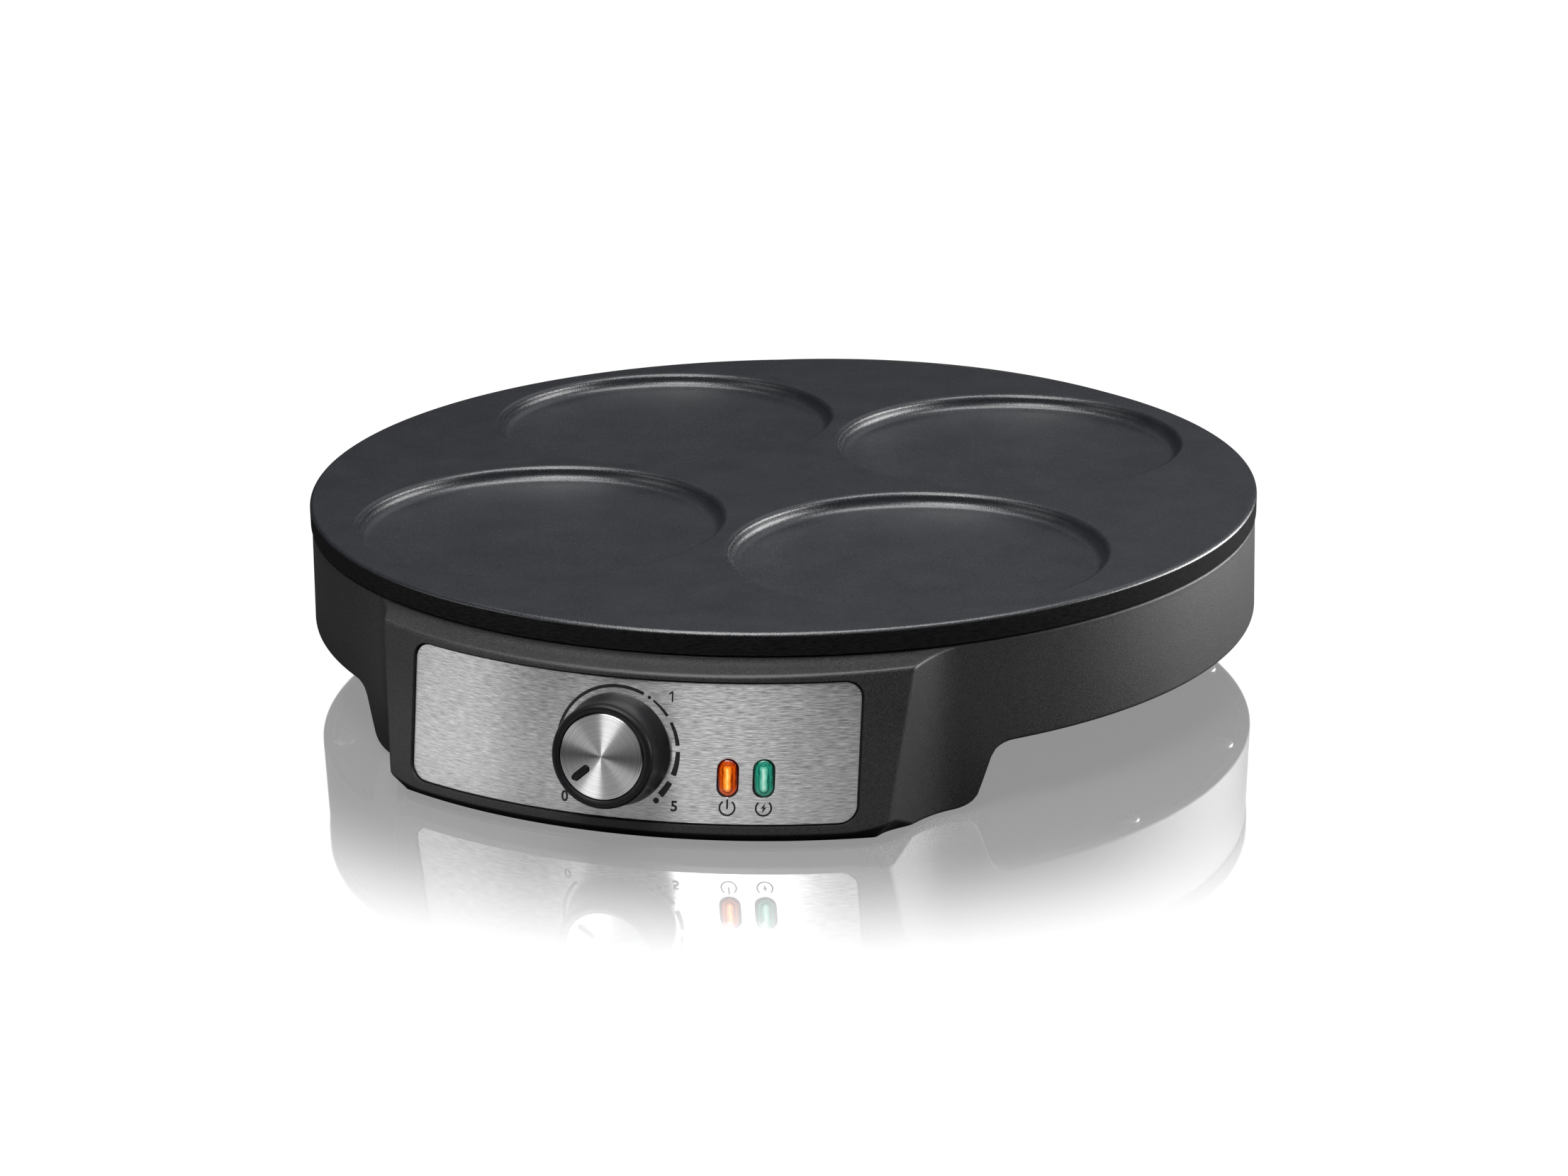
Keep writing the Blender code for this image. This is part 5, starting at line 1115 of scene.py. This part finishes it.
def cross_recess(half_length, width, depth):
    """Star-shaped outline layers of a cross recess, narrowing as it goes in."""
    bm = bmesh.new()

    def star(reach, half):
        points = []
        for quarter in range(4):
            a = pi / 2 * quarter
            for x, y in ((reach, -half), (reach, half), (half, half)):
                points.append((x * cos(a) - y * sin(a), x * sin(a) + y * cos(a)))
        return points

    layered(bm, [(star(half_length * 1.1, width * 0.62), -0.3 * MM), (star(half_length, width / 2), 0.0),
                 (star(half_length * 0.45, width * 0.36), depth)])
    return bm


def make_screws():
    """Domed screw heads with a cross recess, seen from below."""
    seat = BAND_Z - GAP
    head = seat - BASE_HEAD_H
    for i in range(1, len(BOSS_ANGLES) + 1):
        node = f"base_screw_{i}"
        low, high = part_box(node)
        centre = (low + high) / 2
        bm = bmesh.new()
        dome = [(0, high.z), (BASE_SCREW_R * 0.4, high.z - 0.5 * MM), (BASE_SCREW_R, high.z - 1.6 * MM)]
        z = high.z - 1.6 * MM
        while z - 0.9 * MM > seat + 0.5 * MM:
            dome += [(BASE_SCREW_R * 0.78, z - 0.3 * MM), (BASE_SCREW_R, z - 0.6 * MM)]
            z -= 0.6 * MM
        dome += [(BASE_SCREW_R * 0.9, seat), (BASE_HEAD_R, seat), (BASE_HEAD_R, seat - 0.5 * MM)]
        dome += [(BASE_HEAD_R * cos(a), seat - 0.5 * MM - (BASE_HEAD_H - 0.5 * MM) * sin(a))
                 for a in (0.35, 0.7, 1.0, 1.25)] + [(0, head)]
        lathe(bm, dome, 36)
        spot = Matrix.Translation((centre.x, centre.y, 0))
        screw = add(f"screw_head_{i}", bm, [ZINC], [node], spot)
        tool = cross_recess(1.7 * MM, 0.62 * MM, 1.0 * MM)
        carve(screw, [cutter("recess", tool, spot @ Matrix.Translation((0, 0, head)))])


def make_grommet():
    outer = GAP + INLET_FLANGE_T
    inner = -WALL - 2 * GAP
    back = inner - INLET_SNAP_T
    points = [(INLET_BORE_R, back), (INLET_BORE_R, outer), (INLET_FLANGE_R - INLET_SNAP, outer),
              (INLET_FLANGE_R, outer - INLET_SNAP), (INLET_FLANGE_R, GAP), (INLET_WAIST_R, GAP),
              (INLET_WAIST_R, inner), (INLET_WAIST_R + INLET_SNAP, inner), (INLET_WAIST_R, back),
              (INLET_BORE_R, back)]
    radii = [0, 0.5, 0.5, 0.5, 0.2, 0, 0, 0.2, 0.2, 0]
    bm = bmesh.new()
    lathe(bm, softened(points, radii, 4), 64)
    add("inlet_bushing", bm, [RUBBER], ["cord_grommet"], inlet_axis())


# Carried-over CAD pieces

def dress_nodes():
    slots = {row["node"]: row["material_slot"] for row in frame["record"]["subparts"]}
    for name, obj in NODES.items():
        look = SLOT_LOOKS[slots[name]]
        for entry in obj.material_slots:
            entry.link = "OBJECT"
            entry.material = look


# Studio

def make_world():
    """Plain grey dome: dark at the horizon, on the left and in front, so that metal shows contrast."""
    world = bpy.data.worlds.new("studio")
    bpy.context.scene.world = world
    world.use_nodes = True
    sky = Nodes(world.node_tree)
    x, y, z = sky.split(sky.node("ShaderNodeTexCoord").outputs["Generated"])
    glows = ((0.0, 0.01), (0.22, 0.01), (0.38, 0.19), (0.52, 0.64), (0.64, 0.55), (0.85, 0.28))
    colour = sky.ramp(z, [(height, (glow, glow, glow * 1.02)) for height, glow in glows])
    strength = sky.times(sky.spread(x, 0.1, 1.0, -0.6, 0.1), sky.spread(y, 0.45, 1.0, -0.5, 0.4))
    background = sky.tree.nodes["Background"]
    sky.link(colour, background.inputs["Color"])
    sky.link(strength, background.inputs["Strength"])


def make_lamp(name, azimuth, elevation, distance, size, glow, aim=(0, 0, 0.03)):
    """Soft lamp whose face is as bright as glow, 1 being white; azimuth 0 is the front, 90 the right."""
    data = bpy.data.lights.new(name, "AREA")
    data.shape = "RECTANGLE"
    data.size, data.size_y = size
    data.energy = glow * pi * size[0] * size[1]
    lamp = place_object(name, data)
    a, e = radians(azimuth), radians(elevation)
    spot = Vector((cos(e) * sin(a), -cos(e) * cos(a), sin(e))) * distance
    lamp.location = spot
    lamp.rotation_euler = (Vector(aim) - spot).to_track_quat("-Z", "Y").to_euler()
    lamp.visible_camera = False
    return lamp


def floor_look():
    """Floor that the camera sees as white with a fading mirror image, and that metal sees lit nearby: a
    painted pool of light ahead of the object and painted shadow under it.
    """
    look = Look("floor_white", (0.08, 0.08, 0.081), 0.6, 0.0, 0.0)
    place = look.node("ShaderNodeTexCoord").outputs["Object"]
    length = look.node("ShaderNodeVectorMath", operation="LENGTH")
    look.link(place, length.inputs[0])
    radius = length.outputs["Value"]
    x, y, _ = look.split(place)
    rays = look.node("ShaderNodeLightPath").outputs
    camera = rays["Is Camera Ray"]
    look.feed("Base Color", look.ramp(camera, [(0.0, (0.02, 0.02, 0.02)), (1.0, look.colour)]))
    # Camera rays see the floor's glow a little dimmer near the object, as painted shade round it.
    plain = look.spread(radius, 0.91, 1.0, 0.25, 1.2)
    # Glossy rays see a painted pool of light ahead of the object, weaker to its right, with painted shadow
    # under the object.
    painted_pool_ahead = look.times(look.spread(y, 1.0, 0.05, -0.17, -0.10), look.spread(x, 1.0, 0.5, -0.06, 0.12))
    near = look.times(look.spread(radius, 1.0, 0.01, 0.24, 0.37), look.spread(radius, 0.0, 1.0, 0.165, 0.205))
    glossy = look.math("MAXIMUM", rays["Is Glossy Ray"], rays["Is Transmission Ray"])
    look.set(Emission_Color=(1, 1, 1, 1))
    look.feed("Emission Strength",
              look.plus(look.times(camera, plain), look.times(glossy, look.times(painted_pool_ahead, near))))

    share = look.spread(radius, 0.69, 0.0, 0.170, 0.252, "SMOOTHSTEP")
    facing = look.spread(look.node("ShaderNodeLayerWeight").outputs["Facing"], 0.0, 1.0, 0.1, 0.4)
    mirror = look.node("ShaderNodeBsdfGlossy", Color=(1, 1, 1, 1), Roughness=0.04)
    mix = look.node("ShaderNodeMixShader")
    look.link(look.times(camera, look.times(share, facing)), mix.inputs["Fac"])
    look.link(look.shader.outputs[0], mix.inputs[1])
    look.link(mirror.outputs[0], mix.inputs[2])
    look.link(mix.outputs[0], look.tree.nodes["Material Output"].inputs["Surface"])
    return look.mat


def make_floor():
    mesh = bpy.data.meshes.new("floor")
    reach = 12.0
    mesh.from_pydata([(-reach, -reach, 0), (reach, -reach, 0), (reach, reach, 0), (-reach, reach, 0)], [],
                     [(0, 1, 2, 3)])
    mesh.materials.append(floor_look())
    floor = place_object("floor", mesh)
    return floor


def make_studio():
    """Soft lamps, and a white glossy floor that fades to plain white away from the object."""
    make_world()
    make_lamp("front_high", -5, 56, 0.85, (0.42, 0.42), 9.0)
    make_lamp("overhead", 90, 84, 1.2, (0.4, 1.4), 6.5)
    right = make_lamp("right", 114, 10, 0.5, (0.42, 0.24), 11.0, (0.14, 0.06, 0.035))
    make_lamp("left_front", -56, 15, 1.2, (0.6, 0.4), 1.5)
    floor = make_floor()

    floor_only = bpy.data.collections.new("floor_only")
    floor_only.objects.link(floor)
    for turn in range(4):
        lamp = make_lamp(f"surround_{turn}", 90 * turn, 26, 5.5, (10, 4.8), 1.0, (0, 0, 2.4))
        lamp.visible_diffuse = False
        lamp.light_linking.receiver_collection = floor_only
    object_only = bpy.data.collections.new("object_only")
    object_only.objects.link(floor)
    right.light_linking.receiver_collection = object_only
    object_only.collection_objects[0].light_linking.link_state = "EXCLUDE"


def make_camera():
    """Camera at the photograph's place, found from the plate's circles."""
    rise, swing, tilt = 0.3247385, 0.2967398, 0.01507391
    shift_x, shift_y, distance = 0.00143843, 0.23587982, 6.97204
    focal = 4616.819        # pixels of the photograph, which is 2212 wide
    back = Vector((sin(swing) * cos(rise), -cos(swing) * cos(rise), sin(rise)))
    right = Vector((cos(swing), sin(swing), 0))
    up = (Vector((0, 0, 1)) - back * back.z).normalized()
    place = (back * distance - right * shift_x - up * shift_y) * PLATE_R + Vector((0, AXIS_Y, TOP_Z))
    turned_right = right * cos(tilt) - up * sin(tilt)
    turned_up = right * sin(tilt) + up * cos(tilt)
    data = bpy.data.cameras.new("photo_camera")
    data.sensor_width = 36
    data.lens = focal / 2212 * data.sensor_width
    data.clip_end = 60
    camera = place_object("photo_camera", data, Matrix((turned_right, turned_up, back)).transposed().to_4x4())
    camera.location = place
    bpy.context.scene.camera = camera


make_plate()
make_housing()
make_panel()
make_marks()
make_knob()
make_lenses()
make_feet()
make_screws()
make_grommet()
dress_nodes()
make_studio()
make_camera()
bpy.context.scene.view_settings.view_transform = "Standard"
